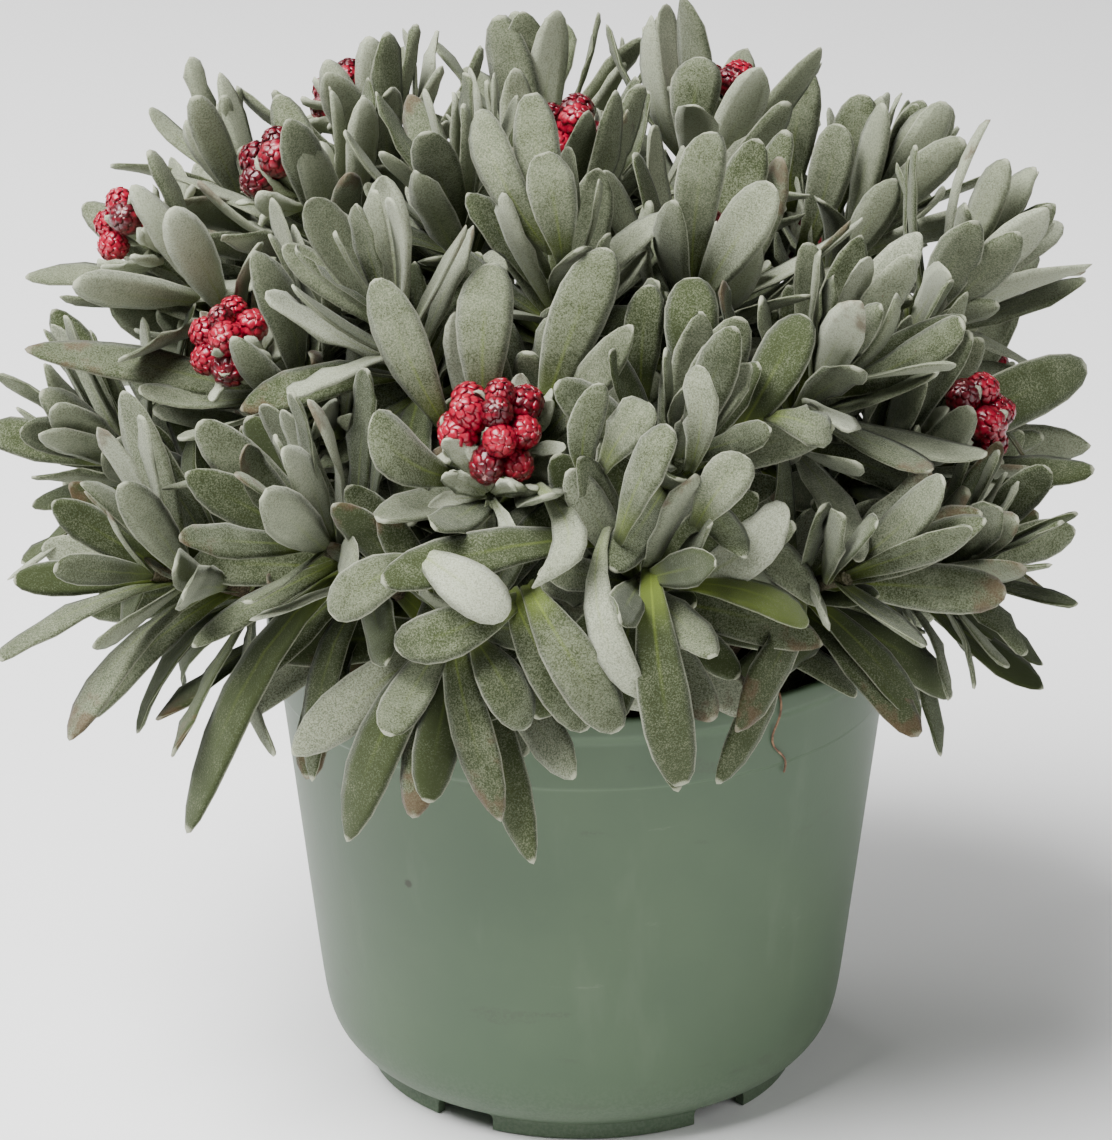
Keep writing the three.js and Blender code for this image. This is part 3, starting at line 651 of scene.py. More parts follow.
def lowness(stem):
    """How low down a shoot's tip is, from 0 to 1."""
    return clamped((LOW_FROM_Z - stem.tip[2]) / LOW_SPAN)


def silvering_and_side_light(stem):
    """The leaves high on the left are more silvery, which is painted light from the left, and those low down less.
    """
    lower = lowness(stem)
    # The left share is painted light on the side that faces the key light.
    left = clamped((LEFT_FROM_X - stem.tip[0]) / LEFT_SPAN)
    return 0.55 * left * (1 - lower) - 0.45 * lower


def solid_leaves(stem, index):
    """The leaves that the part's solids have: those that reach far, then from the lowest to the highest."""
    draw = number_stream(LEAF_SEED * (index + 3))
    look_draw = number_stream(LEAF_LOOK_SEED * (index + 5))
    first = draw() * 360
    lower = lowness(stem)
    # This share holds painted light from the left as well as the low leaves' darker tone.
    silver = silvering_and_side_light(stem)
    top = LEAF_TILT_TOP + (BUD_TILT if stem.buds else 0)
    short = LEAF_BY_BUDS if stem.buds else LEAF_SHORT
    far = [
        {
            "reach": np.array(reach, float),
            "width": LEAF_WIDTH_LOW * mix(*WIDTH_SCATTER, draw()),
            "down": REACHING_DOWN * stem.size - REACHING_STEP * k,
            "look": leaf_look(look_draw, 0.2 + 0.75 * lower, silver),
        }
        for k, reach in enumerate(REACHING.get(stem.name, ()))
    ]
    near = []
    for k in range(stem.leaves):
        up = k / (stem.leaves - 1)
        turn = math.radians(first + k * GOLDEN_DEG + (draw() - 0.5) * TURN_SCATTER)
        tilt = math.radians(mix(LEAF_TILT_LOW, top, up**1.1) + (draw() - 0.5) * TILT_SCATTER)
        length = stem.size * mix(LEAF_LONG, short, up**1.3) * mix(*LENGTH_SCATTER, draw())
        near.append(
            {
                "turn": turn,
                "tilt": tilt,
                "length": length,
                "width": mix(LEAF_WIDTH_LOW, LEAF_WIDTH_TOP, up) * mix(*WIDTH_SCATTER, draw()),
                "down": (1 - up) ** 1.15 * LEAF_STEM_SPAN * stem.size + (BUD_DOWN if stem.buds else 1),
                "droop": mix(*DROOP_SCATTER, draw()) * (1 - up),
                "roll": math.radians((draw() - 0.5) * ROLL_SCATTER),
                "early": mix(EARLY_LOW, EARLY_BY_BUDS if stem.buds else EARLY_TOP, up),
                "look": leaf_look(look_draw, (1 - up) * 0.35 + 0.55 * lower, silver),
            }
        )
    return far, near


def more_leaves(stem, index, kind):
    """The further leaves of one kind that fill a shoot out in the fine model."""
    rule = MORE_LEAVES[kind]
    if stem.name in LOOSE and kind == YOUNG:
        return []
    if stem.buds and kind == YOUNG:
        rule = {**rule, **BUD_LEAVES}
    draw = number_stream(MORE_SEED * (index + 1) + MORE_KIND_SEED * len(kind))
    first = draw() * 360
    lower = lowness(stem)
    # young also holds painted light from the left, through the same share.
    young = (0.5 if kind == YOUNG else 0.1) + silvering_and_side_light(stem)
    leaves = []
    for k in range(rule["count"]):
        along = k / (rule["count"] - 1)
        tilt = mix(*rule["tilt"], along)
        sideways = max(0, math.sin(math.radians(tilt)))
        leaves.append(
            {
                "turn": math.radians(first + k * GOLDEN_DEG + (draw() - 0.5) * MORE_TURN_SCATTER),
                "tilt": math.radians(tilt + (draw() - 0.5) * MORE_TILT_SCATTER),
                "length": stem.size * mix(*rule["length"], along) * mix(*MORE_LENGTH_SCATTER, draw()),
                "width": mix(*rule["width"], along) * mix(*MORE_WIDTH_SCATTER, draw()),
                "down": mix(*rule["down"], along) * stem.size + (BUD_DOWN - 3 if stem.buds else 0),
                "droop": mix(*MORE_DROOP_SCATTER, draw()) * sideways * MORE_DROOP_SHARE,
                "roll": math.radians((draw() - 0.5) * MORE_ROLL_SCATTER),
                "early": mix(*rule["early"], draw()),
                "room": MORE_ROOM,
                "deep": kind == INNER,
                "axis": unit(
                    mix(stem.axis, UP, rule["up"] * (1 + 0.5 * lower) * mix(*MORE_UP_SCATTER, draw()))
                ),
                "look": leaf_look(draw, rule["green"] + 0.4 * lower, young),
            }
        )
    return leaves


def woolly_tuft(middle, axis, seed, count, length, tilt, width, spread):
    """Small woolly leaves that curl outwards from one place."""
    draw = number_stream(seed)
    across = unit(np.cross(axis, UP + np.array((0.01, 0.02, 0.0))))
    for k in range(count):
        outward = turned(across, axis, math.radians(k * GOLDEN_DEG + draw() * 40))
        lean = math.radians(mix(*tilt, draw()))
        long = mix(*length, draw())

        def towards(angle):
            return axis * math.cos(angle) + outward * math.sin(angle)

        start = middle + outward * spread
        curl = mix(0.5, 1.9, draw())
        look = leaf_look(draw, 0.0, young=0.5)
        look.update(tone=mix(1.1, 1.5, draw()), green=0.0, brown=0.0, curl=mix(-0.3, 0.25, draw()), wave=0.4)
        yield {
            "line": (start, start + towards(lean * curl) * (long * 0.55), start + towards(lean) * long),
            "side": turned(np.cross(outward, axis), towards(lean), (draw() - 0.5) * 1.2),
            "width": mix(*width, draw()) / long,
            "down": 0,
            "look": look,
        }


def woolly_bracts(stem, index):
    """The small pale leaves round a cluster of buds, between its buds and under the front cluster."""
    if not stem.buds:
        return []
    reach, axis = stem.bud_reach, stem.axis
    collar = woolly_tuft(
        stem.tip - axis * 1.5, axis, COLLAR_SEED * (index + 2), count=8,
        length=(reach * 1.05, reach * 1.5), tilt=(42, 84), width=(4, 6), spread=1.2,
    )
    between = woolly_tuft(
        stem.tip + axis, axis, BRACT_SEED * (index + 2), count=10,
        length=(reach * 1.05, reach * 1.45), tilt=(5, 75), width=(3, 4.5), spread=0.5,
    )
    leaves = [*collar, *between]
    if stem.name == CURLED_TUFT[0]:
        middle, axis = (np.array(v, float) for v in CURLED_TUFT[1:])
        leaves += woolly_tuft(
            middle, unit(axis), CURLED_SEED, count=16,
            length=(8, 15), tilt=(5, 75), width=(3.5, 5.5), spread=0.9,
        )
    return leaves


def fine_line(blade):
    """A fine leaf's own line: a short leaf reaches a little further than its solid."""
    start, bend, tip = blade.line
    if blade.as_is:
        return blade.line
    short, most, long, least = LENGTHENED
    more = mix(most, least, clamped((blade.length - short) / (long - short)))
    if dome_share(start + (tip - start) * more) > MORE_DOME:
        return blade.line
    return start, start + (bend - start) * more, start + (tip - start) * more


def full_half(blade):
    """Half a fine leaf's width: it is fuller than its solid, and a short leaf more so than a long one."""
    if blade.as_is:
        return blade.half
    base, more, most = FULL_WIDTH
    long = math.dist(*fine_line(blade)[::2])
    wide = min(most * long, base + more * long)
    return wide / 2 * mix(*FULL_WIDTH_SCATTER, blade.look["phase"] / (2 * math.pi))


def drawn_in(blade, others, low, high):
    """A leaf at its fine size, drawn in until its outer part crosses none of the others: the leaf and its skin.

    A leaf that would still cross one is left out, unless it lies deep in the bush and closes a gap there.
    """
    start, bend, tip = fine_line(blade)
    half = full_half(blade)
    for share in DRAWN_IN:
        shorter = copy.copy(blade)
        shorter.line = (start, start + (bend - start) * share, start + (tip - start) * share)
        shorter.half = half * share**0.5
        shorter.length = blade.length * share
        shorter.as_is = True
        skin = Skin([shorter.ring(s) for s in OUTER_STATIONS], tip=shorter.line[2])
        near = np.nonzero((low <= skin.high).all(1) & (high >= skin.low).all(1))[0]
        if not crosses(skin, [others[k] for k in near]):
            return shorter, skin
    return (shorter, skin) if blade.deep else (None, None)


def settled(bush, solids, last_leaf):
    """The bush's leaves at their fine size, and each one's stem.

    The solids' leaves give way to the single ones, the further leaves to all before them, and the
    bracts to all the leaves.
    """
    single = range(solids, solids + len(FEATURED))
    order = [*single, *range(solids), *range(single.stop, len(bush.grown))]
    skins, low, high, kept = [], np.zeros((0, 3)), np.zeros((0, 3)), {}
    for k in order:
        others = 0 if k in single else len(single) if k < solids else len(skins)
        blade, skin = drawn_in(bush.grown[k], skins, low[:others], high[:others])
        if blade:
            kept[k] = blade
            if k < last_leaf:
                skins.append(skin)
                low, high = np.vstack([low, skin.low]), np.vstack([high, skin.high])
    return [kept[k] for k in sorted(kept)], [bush.leaf_stem[k] for k in sorted(kept)]


@functools.lru_cache(maxsize=None)
def grown_bush():
    """The whole bush, grown once: the solids' leaves first, in their order, and then the further ones."""
    bush = Bush()
    wished = [solid_leaves(stem, i) for i, stem in enumerate(bush.stems)]
    for i, (far, _) in enumerate(wished):
        for leaf in far:
            bush.grow(leaf, i)
    for rank in range(max(stem.leaves for stem in bush.stems)):
        for i, (_, near) in enumerate(wished):
            if rank < len(near):
                bush.grow(near[rank], i)
    solids = len(bush.grown)
    names = [stem.name for stem in bush.stems]
    draw = number_stream(SINGLE_SEED)
    for name, foot, bend, tip, facing, width, tone, green in FEATURED:
        look = {**leaf_look(draw, green), "tone": tone, "green": green, "brown": 0, "blunt": 0.48, "twist": 0.2}
        side = np.cross(np.subtract(tip, foot), facing)
        width /= math.dist(foot, tip)
        leaf = {"line": (foot, bend, tip), "side": side, "width": width, "down": 0, "look": look}
        i = names.index(name)
        bush.keep(Blade(bush.stems[i], leaf, 1, 1, 0), i)
    for kind, rule in MORE_LEAVES.items():
        wished = [more_leaves(stem, i, kind) for i, stem in enumerate(bush.stems)]
        for rank in range(rule["count"]):
            for i, leaves in enumerate(wished):
                if leaves:
                    bush.grow(leaves[rank], i, MORE_LENGTHS, MORE_TILTS, MORE_TURNS)
    last_leaf = len(bush.grown)
    for i, stem in enumerate(bush.stems):
        for leaf in woolly_bracts(stem, i):
            bush.keep(Blade(stem, leaf, 1, 1, 0), i)
    bush.grown, bush.leaf_stem = settled(bush, solids, last_leaf)
    return bush


class Wire:
    """A node's output that can be used in sums: on numbers they add Math nodes, on vectors Vector Math."""

    def __init__(self, maker, socket):
        self.maker, self.socket = maker, socket

    def _sum(self, operation, first, second):
        wires = [w for w in (first, second) if isinstance(w, Wire)]
        vector = any(w.socket.type == "VECTOR" for w in wires)
        kind = "ShaderNodeVectorMath" if vector else "ShaderNodeMath"
        if vector and operation == "MULTIPLY" and not all(_is_vector(w) for w in (first, second)):
            first, second = (first, second) if _is_vector(first) else (second, first)
            return self.maker.add(kind, {"operation": "SCALE"}, {0: first, "Scale": second})
        return self.maker.add(kind, {"operation": operation}, {0: first, 1: second})

    def __add__(self, other):
        return self._sum("ADD", self, other)

    def __sub__(self, other):
        return self._sum("SUBTRACT", self, other)

    def __rsub__(self, other):
        return self._sum("SUBTRACT", other, self)

    def __mul__(self, other):
        return self._sum("MULTIPLY", self, other)

    def __truediv__(self, other):
        return self._sum("DIVIDE", self, other)

    def __pow__(self, other):
        return self._sum("POWER", self, other)

    def __gt__(self, other):
        return self._sum("GREATER_THAN", self, other)

    __radd__ = __add__
    __rmul__ = __mul__

    def math(self, operation, *others):
        sockets = dict(enumerate((self, *others)))
        return self.maker.add("ShaderNodeMath", {"operation": operation}, sockets)

    def vector(self, operation, *others):
        sockets = dict(enumerate((self, *others)))
        out = "Value" if operation == "DISTANCE" else "Vector"
        return self.maker.add("ShaderNodeVectorMath", {"operation": operation}, sockets, out)

    def ramp(self, low, high):
        """0 below low and 1 above high, with a soft rise between."""
        settings = {"interpolation_type": "SMOOTHSTEP"}
        return self.maker.add("ShaderNodeMapRange", settings, {"Value": self, "From Min": low, "From Max": high})

    def parts(self):
        node = self.maker.add("ShaderNodeSeparateXYZ", {}, {0: self}).socket.node
        return [Wire(self.maker, socket) for socket in node.outputs]


def _is_vector(value):
    return isinstance(value, tuple) or (isinstance(value, Wire) and value.socket.type == "VECTOR")


class Maker:
    """Adds nodes to one tree."""

    def __init__(self, tree):
        self.tree = tree

    def add(self, kind, settings=None, sockets=None, out=0):
        node = self.tree.nodes.new(kind)
        for name, value in (settings or {}).items():
            setattr(node, name, value)
        for name, value in (sockets or {}).items():
            if isinstance(value, Wire):
                self.tree.links.new(value.socket, node.inputs[name])
            else:
                node.inputs[name].default_value = value
        return Wire(self, node.outputs[out]) if node.outputs else None

    def blend(self, share, first, second):
        """Two colours mixed, by a share of the second."""
        first, second = (c if isinstance(c, Wire) else opaque(c) for c in (first, second))
        return self.add("ShaderNodeMix", {"data_type": "RGBA"}, {0: share, 6: first, 7: second}, 2)

    def noise(self, place, scale, detail, roughness):
        sockets = {"Vector": place, "Scale": scale, "Detail": detail, "Roughness": roughness}
        return self.add("ShaderNodeTexNoise", {}, sockets)

    def cells(self, place, scale):
        return self.add("ShaderNodeTexVoronoi", {}, {"Vector": place, "Scale": scale}, "Distance")

    def attribute(self, name, out="Vector"):
        return self.add("ShaderNodeAttribute", {"attribute_name": name}, {}, out)

    def field(self, name, kind="FLOAT_VECTOR"):
        return self.add("GeometryNodeInputNamedAttribute", {"data_type": kind}, {"Name": name})

    def marked(self, source, name):
        """An object's mesh, which keeps each point's own place under a name."""
        mesh = self.add("GeometryNodeObjectInfo", {}, {"Object": source}, "Geometry")
        place = self.add("GeometryNodeInputPosition")
        sockets = {"Geometry": mesh, "Name": name, "Value": place}
        return self.add("GeometryNodeStoreNamedAttribute", {"data_type": "FLOAT_VECTOR"}, sockets)

    def copies(self, **sockets):
        """A copy on each point, as real geometry."""
        instances = self.add("GeometryNodeInstanceOnPoints", {}, sockets)
        return self.add("GeometryNodeRealizeInstances", {}, {0: instances})

    def coated(self, geometry, material):
        return self.add("GeometryNodeSetMaterial", {}, {"Geometry": geometry, "Material": material})

    def facing(self, axis, way, **more):
        """A turn that points one axis along a way, after any turn that is given."""
        settings = {"axis": axis, "pivot_axis": "Z" if more else "AUTO"}
        return self.add("FunctionNodeAlignRotationToVector", settings, {"Vector": way, **more})

    def turned(self, turn, more):
        """A turn followed by another about its own axes."""
        sockets = {"Rotation": turn, "Rotate By": more}
        return self.add("FunctionNodeRotateRotation", {"rotation_space": "LOCAL"}, sockets)

    def combine(self, x, y, z):
        return self.add("ShaderNodeCombineXYZ", {}, {0: x, 1: y, 2: z})

    def join(self, *parts):
        node = self.tree.nodes.new("GeometryNodeJoinGeometry")
        for part in parts:
            self.tree.links.new(part.socket, node.inputs[0])
        return Wire(self, node.outputs[0])


def shade(text):
    """The linear colour of a six-figure sRGB one."""
    values = [int(text[i : i + 2], 16) / 255 for i in (0, 2, 4)]
    return tuple(v / 12.92 if v <= 0.04045 else ((v + 0.055) / 1.055) ** 2.4 for v in values)


def opaque(colour):
    return (*colour, 1.0)


def new_material(name):
    """An empty node material: its maker and a function that gives it its finish."""
    material = bpy.data.materials.new(name)
    material.use_nodes = True
    tree = material.node_tree
    tree.nodes.clear()
    maker = Maker(tree)

    def finish(sockets, bump=None):
        if bump:
            height, strength, distance = bump
            bump_sockets = {"Height": height, "Strength": strength, "Distance": distance}
            sockets = {**sockets, "Normal": maker.add("ShaderNodeBump", {}, bump_sockets)}
        shader = maker.add("ShaderNodeBsdfPrincipled", {}, sockets)
        maker.add("ShaderNodeOutputMaterial", {}, {"Surface": shader})
        return material

    return maker, finish


def geometry_tree(name, inputs):
    """A Geometry Nodes tree with named inputs: its maker, a wire for each input and a closing function."""
    tree = bpy.data.node_groups.new(name, "GeometryNodeTree")
    tree.interface.new_socket("Geometry", in_out="INPUT", socket_type="NodeSocketGeometry")
    tree.interface.new_socket("Geometry", in_out="OUTPUT", socket_type="NodeSocketGeometry")
    for label, kind in inputs:
        tree.interface.new_socket(label, in_out="INPUT", socket_type="NodeSocket" + kind)
    maker = Maker(tree)
    entry = tree.nodes.new("NodeGroupInput")
    wires = {socket.name: Wire(maker, socket) for socket in entry.outputs if socket.name}

    def close(wire):
        end = tree.nodes.new("NodeGroupOutput")
        tree.links.new(wire.socket, end.inputs[0])
        return tree

    return maker, wires, close


def grown_from(piece, tree, values):
    """The piece's mesh replaced by what a Geometry Nodes tree makes of it, as plain mesh."""
    modifier = piece.modifiers.new(tree.name, "NODES")
    modifier.node_group = tree
    for item in tree.interface.items_tree:
        if item.in_out == "INPUT" and item.name in values:
            modifier[item.identifier] = values[item.name]
    return plain(piece)


def plain(piece):
    """The piece with its modifiers made real and removed."""
    depsgraph = bpy.context.evaluated_depsgraph_get()
    evaluated = piece.evaluated_get(depsgraph)
    made = bpy.data.meshes.new_from_object(evaluated, preserve_all_data_layers=True, depsgraph=depsgraph)
    piece.modifiers.clear()
    old = piece.data
    piece.data = made
    made.name = piece.name
    bpy.data.meshes.remove(old)
    return piece


def store(mesh, name, rows, kind="FLOAT_VECTOR"):
    """Keeps a value for each point of a mesh under a name. Points past the rows take the first one."""
    rows = [*rows, *[rows[0]] * (len(mesh.vertices) - len(rows))]
    layer = mesh.attributes.new(name, kind, "POINT")
    layer.data.foreach_set("vector" if kind == "FLOAT_VECTOR" else "value", np.array(rows).ravel())


def new_piece(name, mesh):
    piece = bpy.data.objects.new(name, mesh)
    bpy.context.scene.collection.objects.link(piece)
    return piece


def discard(piece):
    mesh = piece.data
    bpy.data.objects.remove(piece)
    bpy.data.meshes.remove(mesh)


def band_faces(rings, size):
    """The four-sided faces between closed rings of corners that follow each other."""
    sides = [(ring * size + k, ring * size + (k + 1) % size) for ring in range(rings - 1) for k in range(size)]
    return [(a, b, b + size, a + size) for a, b in sides]


def fan_faces(first, size, hub):
    """The triangles from a closed ring of corners to one point."""
    return [(first + k, first + (k + 1) % size, hub) for k in range(size)]


def mesh_of(name, points, faces, edges=()):
    mesh = bpy.data.meshes.new(name)
    mesh.from_pydata([tuple(p) for p in points], list(edges), list(faces))
    mesh.validate()
    return mesh


def outward(mesh):
    """The mesh with doubled corners merged and all its faces turned outwards."""
    work = bmesh.new()
    work.from_mesh(mesh)
    bmesh.ops.remove_doubles(work, verts=work.verts, dist=1e-7)
    bmesh.ops.recalc_face_normals(work, faces=work.faces)
    work.to_mesh(mesh)
    work.free()
    return mesh


def settle(piece, slot, *nodes):
    """A finished piece rides on the root and stands for its solids; its slot is not used."""
    piece.data.shade_smooth()
    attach(piece, "root")
    if nodes:
        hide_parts(*nodes)
    return piece


# A blade before it is bent: corners of its ring as (across, through), and where the rings stand.
BLADE_RING = ((1, 0), (0.6, 1), (0, 1), (-0.6, 1), (-1, 0), (-0.5, -1), (0.5, -1))
BLADE_STATIONS = (0, 0.14, 0.3, 0.46, 0.62, 0.76, 0.87, 0.95, 0.99)


def blade_template():
    """A flat closed blade of unit length: x across, y along and z through it."""
    size = len(BLADE_RING)
    points = [(u, s, t) for s in BLADE_STATIONS for u, t in BLADE_RING] + [(0, 1, 0)]
    faces = [tuple(range(size)), *band_faces(len(BLADE_STATIONS), size)]
    faces += fan_faces((len(BLADE_STATIONS) - 1) * size, size, len(points) - 1)
    return new_piece("blade_template", outward(mesh_of("blade_template", points, faces)))


LEAF_FIELDS = ("leaf_start", "leaf_bend", "leaf_tip", "leaf_side", "leaf_shape", "leaf_motion", "leaf_turn")
STEM_LINE_STEPS = 14


def leafy_tree():
    """Bends a blade along each leaf's own line and draws a tapered stem along the shoot's."""
    inputs = (
        ("Blade", "Object"), ("Leaf Felt", "Material"), ("Stem Felt", "Material"),
        ("Thickness", "Float"), ("Stem Low Radius", "Float"), ("Stem Top Radius", "Float"),
    )
    maker, given, close = geometry_tree("leafy_shoot", inputs)
    is_leaf = maker.field("is_leaf", "BOOLEAN")
    split = maker.add("GeometryNodeSeparateGeometry", {"domain": "POINT"}, {0: given["Geometry"], 1: is_leaf})
    stem_line = Wire(maker, split.socket.node.outputs[1])
    flat_blades = maker.copies(Points=split, Instance=maker.marked(given["Blade"], "blade"))

    across, s, through = maker.field("blade").parts()
    start, bend, tip, side, shape, motion, turn = (maker.field(name) for name in LEAF_FIELDS)
    half, blunt, cup = shape.parts()
    wave, phase, curl = motion.parts()
    twist, fold, _ = turn.parts()

    # The middle line, and the directions across and out of the blade, twisted towards the tip
    back = 1 - s
    middle = start * (back * back) + bend * (back * s * 2) + tip * (s * s)
    way = ((bend - start) * back + (tip - bend) * s).vector("NORMALIZE")
    flat = side.vector("CROSS_PRODUCT", way).vector("NORMALIZE")
    angle = twist * s * s
    lift = flat * angle.math("COSINE") - side * angle.math("SINE")
    side = side * angle.math("COSINE") + flat * angle.math("SINE")

    # The outline: a narrow foot that swells to the widest place, and a rounded end
    swell = (s * (math.pi / 2 / FINE_WIDEST)).math("SINE").math("MAXIMUM", 0.0) ** 1.4
    foot = swell * (1 - BLADE_FOOT) + BLADE_FOOT
    beyond = ((s - FINE_WIDEST) / (1 - FINE_WIDEST)).math("MAXIMUM", 0.0)
    rounded = (1 - beyond**2.3).math("MAXIMUM", 0.0) ** blunt
    past = s > FINE_WIDEST
    width = foot * (1 - past) + rounded * past

    # The relief: hollow or folded across, a groove over the rib, a rippled margin and a curled tip
    apart = across.math("ABSOLUTE")
    valley = (1 - apart * apart) * (1 - fold) + (1 - apart) * fold
    hollow = cup * (1 - s * (1 - KEEL_AT_TIP)) * valley * width.ramp(0.0, 0.5)
    groove = (1 - apart * 3).math("MAXIMUM", 0.0) * (1 - s) * (0.16 * MM)
    ripple = (s * 19 + phase + across * 0.8).math("SINE") * wave * across * apart * s.ramp(0.1, 0.5)
    body = (0.62 - apart * apart * 0.25) * given["Thickness"] * through * width.ramp(0.0, 0.4)
    rise = body - hollow - groove + ripple + curl * (s**4)
    moved = middle + side * (across * half * width) + lift * rise
    bent = maker.add("GeometryNodeSetPosition", {}, {"Geometry": flat_blades, "Position": moved})

    curve = maker.add("GeometryNodeMeshToCurve", {}, {0: stem_line})
    along = maker.add("GeometryNodeSplineParameter")
    radius = given["Stem Low Radius"] * (1 - along) + given["Stem Top Radius"] * along
    round_curve = maker.add("GeometryNodeSetCurveRadius", {}, {"Curve": curve, "Radius": radius})
    circle = maker.add("GeometryNodeCurvePrimitiveCircle", {}, {"Resolution": 12, "Radius": 1.0})
    tube = maker.add(
        "GeometryNodeCurveToMesh", {},
        {"Curve": round_curve, "Profile Curve": circle, "Scale": radius, "Fill Caps": True},
    )
    return close(maker.join(maker.coated(bent, given["Leaf Felt"]), maker.coated(tube, given["Stem Felt"])))


def shoot_piece(bush, index, tree, values):
    """One shoot's leaves and stem, from points that hold each leaf's place and look."""
    stem = bush.stems[index]
    blades = [blade for blade, owner in zip(bush.grown, bush.leaf_stem) if owner == index]
    count = len(blades)
    edges = [(count + k, count + k + 1) for k in range(STEM_LINE_STEPS)]
    points = in_frame([*(blade.line[0] for blade in blades), *stem.points(STEM_LINE_STEPS)])
    mesh = mesh_of("leaves_" + stem.name, points, (), edges)
    rows = []
    for blade in blades:
        look = blade.look
        shape = (full_half(blade) * MM, look["blunt"], look["cup"] * MM)
        motion = (look["wave"] * MM, look["phase"], look["curl"] * blade.length * MM)
        rows.append((*map(in_frame, fine_line(blade)), blade.side, shape, motion, (look["twist"], look["fold"], 0)))
    for name, column in zip(LEAF_FIELDS, zip(*rows)):
        store(mesh, name, column)
    store(mesh, "is_leaf", [k < count for k in range(len(points))], "BOOLEAN")
    store(mesh, "leaf_look", [tuple(blade.look[key] for key in ("tone", "green", "brown")) for blade in blades])
    piece = grown_from(new_piece("leaves_" + stem.name, mesh), tree, values)
    for name in ("is_leaf", *LEAF_FIELDS):
        layer = piece.data.attributes.get(name)
        if layer:
            piece.data.attributes.remove(layer)
    return settle(piece, "leaf", "shoot_" + stem.name)


def leaf_felt(look):
    """Silver-green felt: mottled wool over green, a pale woolly margin and a faint yellow-green rib, with painted
    shade towards each leaf's foot.
    """
    maker, finish = new_material("leaf_felt")
    place = maker.add("ShaderNodeTexCoord", {}, {}, "Object")
    across, s, through = maker.attribute("blade").parts()
    tone, green, brown = maker.attribute("leaf_look").parts()
    apart = across.math("ABSOLUTE")

    hairs = maker.noise(place, 3000, 4, 0.7)
    fine = maker.noise(place, 5200, 2, 0.6)
    cloud = maker.noise(place, 240, 3, 0.55)
    under = (through * -1.0).ramp(0.1, 0.8)
    wool = hairs.ramp(0.36, 0.64) * 0.7 + fine.ramp(0.38, 0.62) * 0.3
    patch = (cloud - 0.5) * 0.7
    # Each leaf's tone, which for the high left shoots holds painted light from the left, lightens its felt and pale
    # colour.
    cover = wool * 0.76 + patch + (tone - 0.5) * 0.7 - green * 0.4 * (1 - under * 0.4) + under * 0.06 + 0.12
    # Darker and greener towards each leaf's foot: partly the foot's own greener colour, partly painted shade where
    # the leaves crowd together.
    cover = cover - (1 - s.ramp(0.05, 0.55)) * 0.35
    full = cover.math("MINIMUM", 1.0).math("MAXIMUM", 0.0)
    upper = maker.blend(full, look.green_colour, look.felt_colour)
    silver = maker.blend(tone.ramp(0.6, 1.15) * (0.15 + wool * 0.8), upper, look.pale_colour)

    rib = (1 - apart * 8).math("MAXIMUM", 0.0) * (1 - s).ramp(0.15, 0.8)
    base = (1 - s).ramp(0.62, 0.95)
    fresh = (green - 1).math("MAXIMUM", 0.0) * (1 - wool * 0.5)
    ribbed = maker.blend(rib * 0.4 + base * (0.25 + green * 0.5) + fresh, silver, look.rib_colour)
    margin = (apart + fine * 0.12 - 0.06).ramp(0.9, 1.0) + (s + fine * 0.02).ramp(0.985, 1.0)
    edged = maker.blend(margin.math("MINIMUM", 1.0) * 0.7, ribbed, look.margin_colour)
    turned_side = maker.blend(under * (0.1 + wool * 0.2), edged, look.under_colour)
    dry = (s + (cloud - 0.5) * 1.1 + apart * 0.1).ramp(0.86, 1.12) * brown
    withered = maker.blend(dry * 0.65, turned_side, look.dry_colour)
    speck = maker.cells(place, 190)
    spots = (1 - speck.ramp(0.03, 0.06)) * (cloud > 0.58)
    coloured = maker.blend(spots * 0.5, withered, look.dry_colour)
    sockets = {
        "Base Color": coloured,
        "Roughness": 0.92,
        "Specular IOR Level": 0.2,
        "Sheen Weight": 0.13,
        "Sheen Roughness": 0.5,
    }
    return finish(sockets, bump=(hairs + fine * 0.5, 0.55, 0.0005))


def stem_felt(look):
    """Brown bark at the foot that turns to green and felt higher up."""
    maker, finish = new_material("stem_felt")
    place = maker.add("ShaderNodeTexCoord", {}, {}, "Object")
    fine = maker.noise(place, 2600, 2, 0.6)
    height = place.parts()[2]
    high = height.ramp(0.1, 0.16)
    wool = maker.blend(fine.ramp(0.35, 0.65) * 0.6, look.green_colour, look.felt_colour)
    bark = maker.blend(fine.ramp(0.35, 0.65), shade("3A2C20"), shade("6E5C46"))
    sockets = {"Base Color": maker.blend(high, bark, wool), "Roughness": 0.9}
    return finish(sockets, bump=(fine, 0.6, 0.0004))


BUD_SCALE_SIDE = 4


def scale_template():
    """One plump scale of a bud, closed below: x across, y towards the bud's tip and z outwards."""
    side = BUD_SCALE_SIDE
    points, faces = [], []
    for j in range(side + 1):
        y = j / side
        for i in range(side + 1):
            x = i / side * 2 - 1
            width = 0.52 * math.sin(math.pi * (0.2 + 0.66 * y)) ** 0.6
            dome = max(0.0, (1 - x * x) * math.sin(math.pi * (0.1 + 0.8 * y)))
            points.append((x * width, y - 0.45, 0.26 * dome**0.55 * 0.65))
    row = side + 1
    for j in range(side):
        for i in range(side):
            a = j * row + i
            faces.append((a, a + 1, a + row + 1, a + row))
    rim = [*range(row), *(j * row + side for j in range(1, row))]
    rim += [*(side * row + i for i in range(side - 1, -1, -1)), *(j * row for j in range(side - 1, 0, -1))]
    points.append((0, 0, -0.2))
    faces += [(b, a, len(points) - 1) for a, b in zip(rim, rim[1:] + rim[:1])]
    return new_piece("scale_template", outward(mesh_of("scale_template", points, faces)))


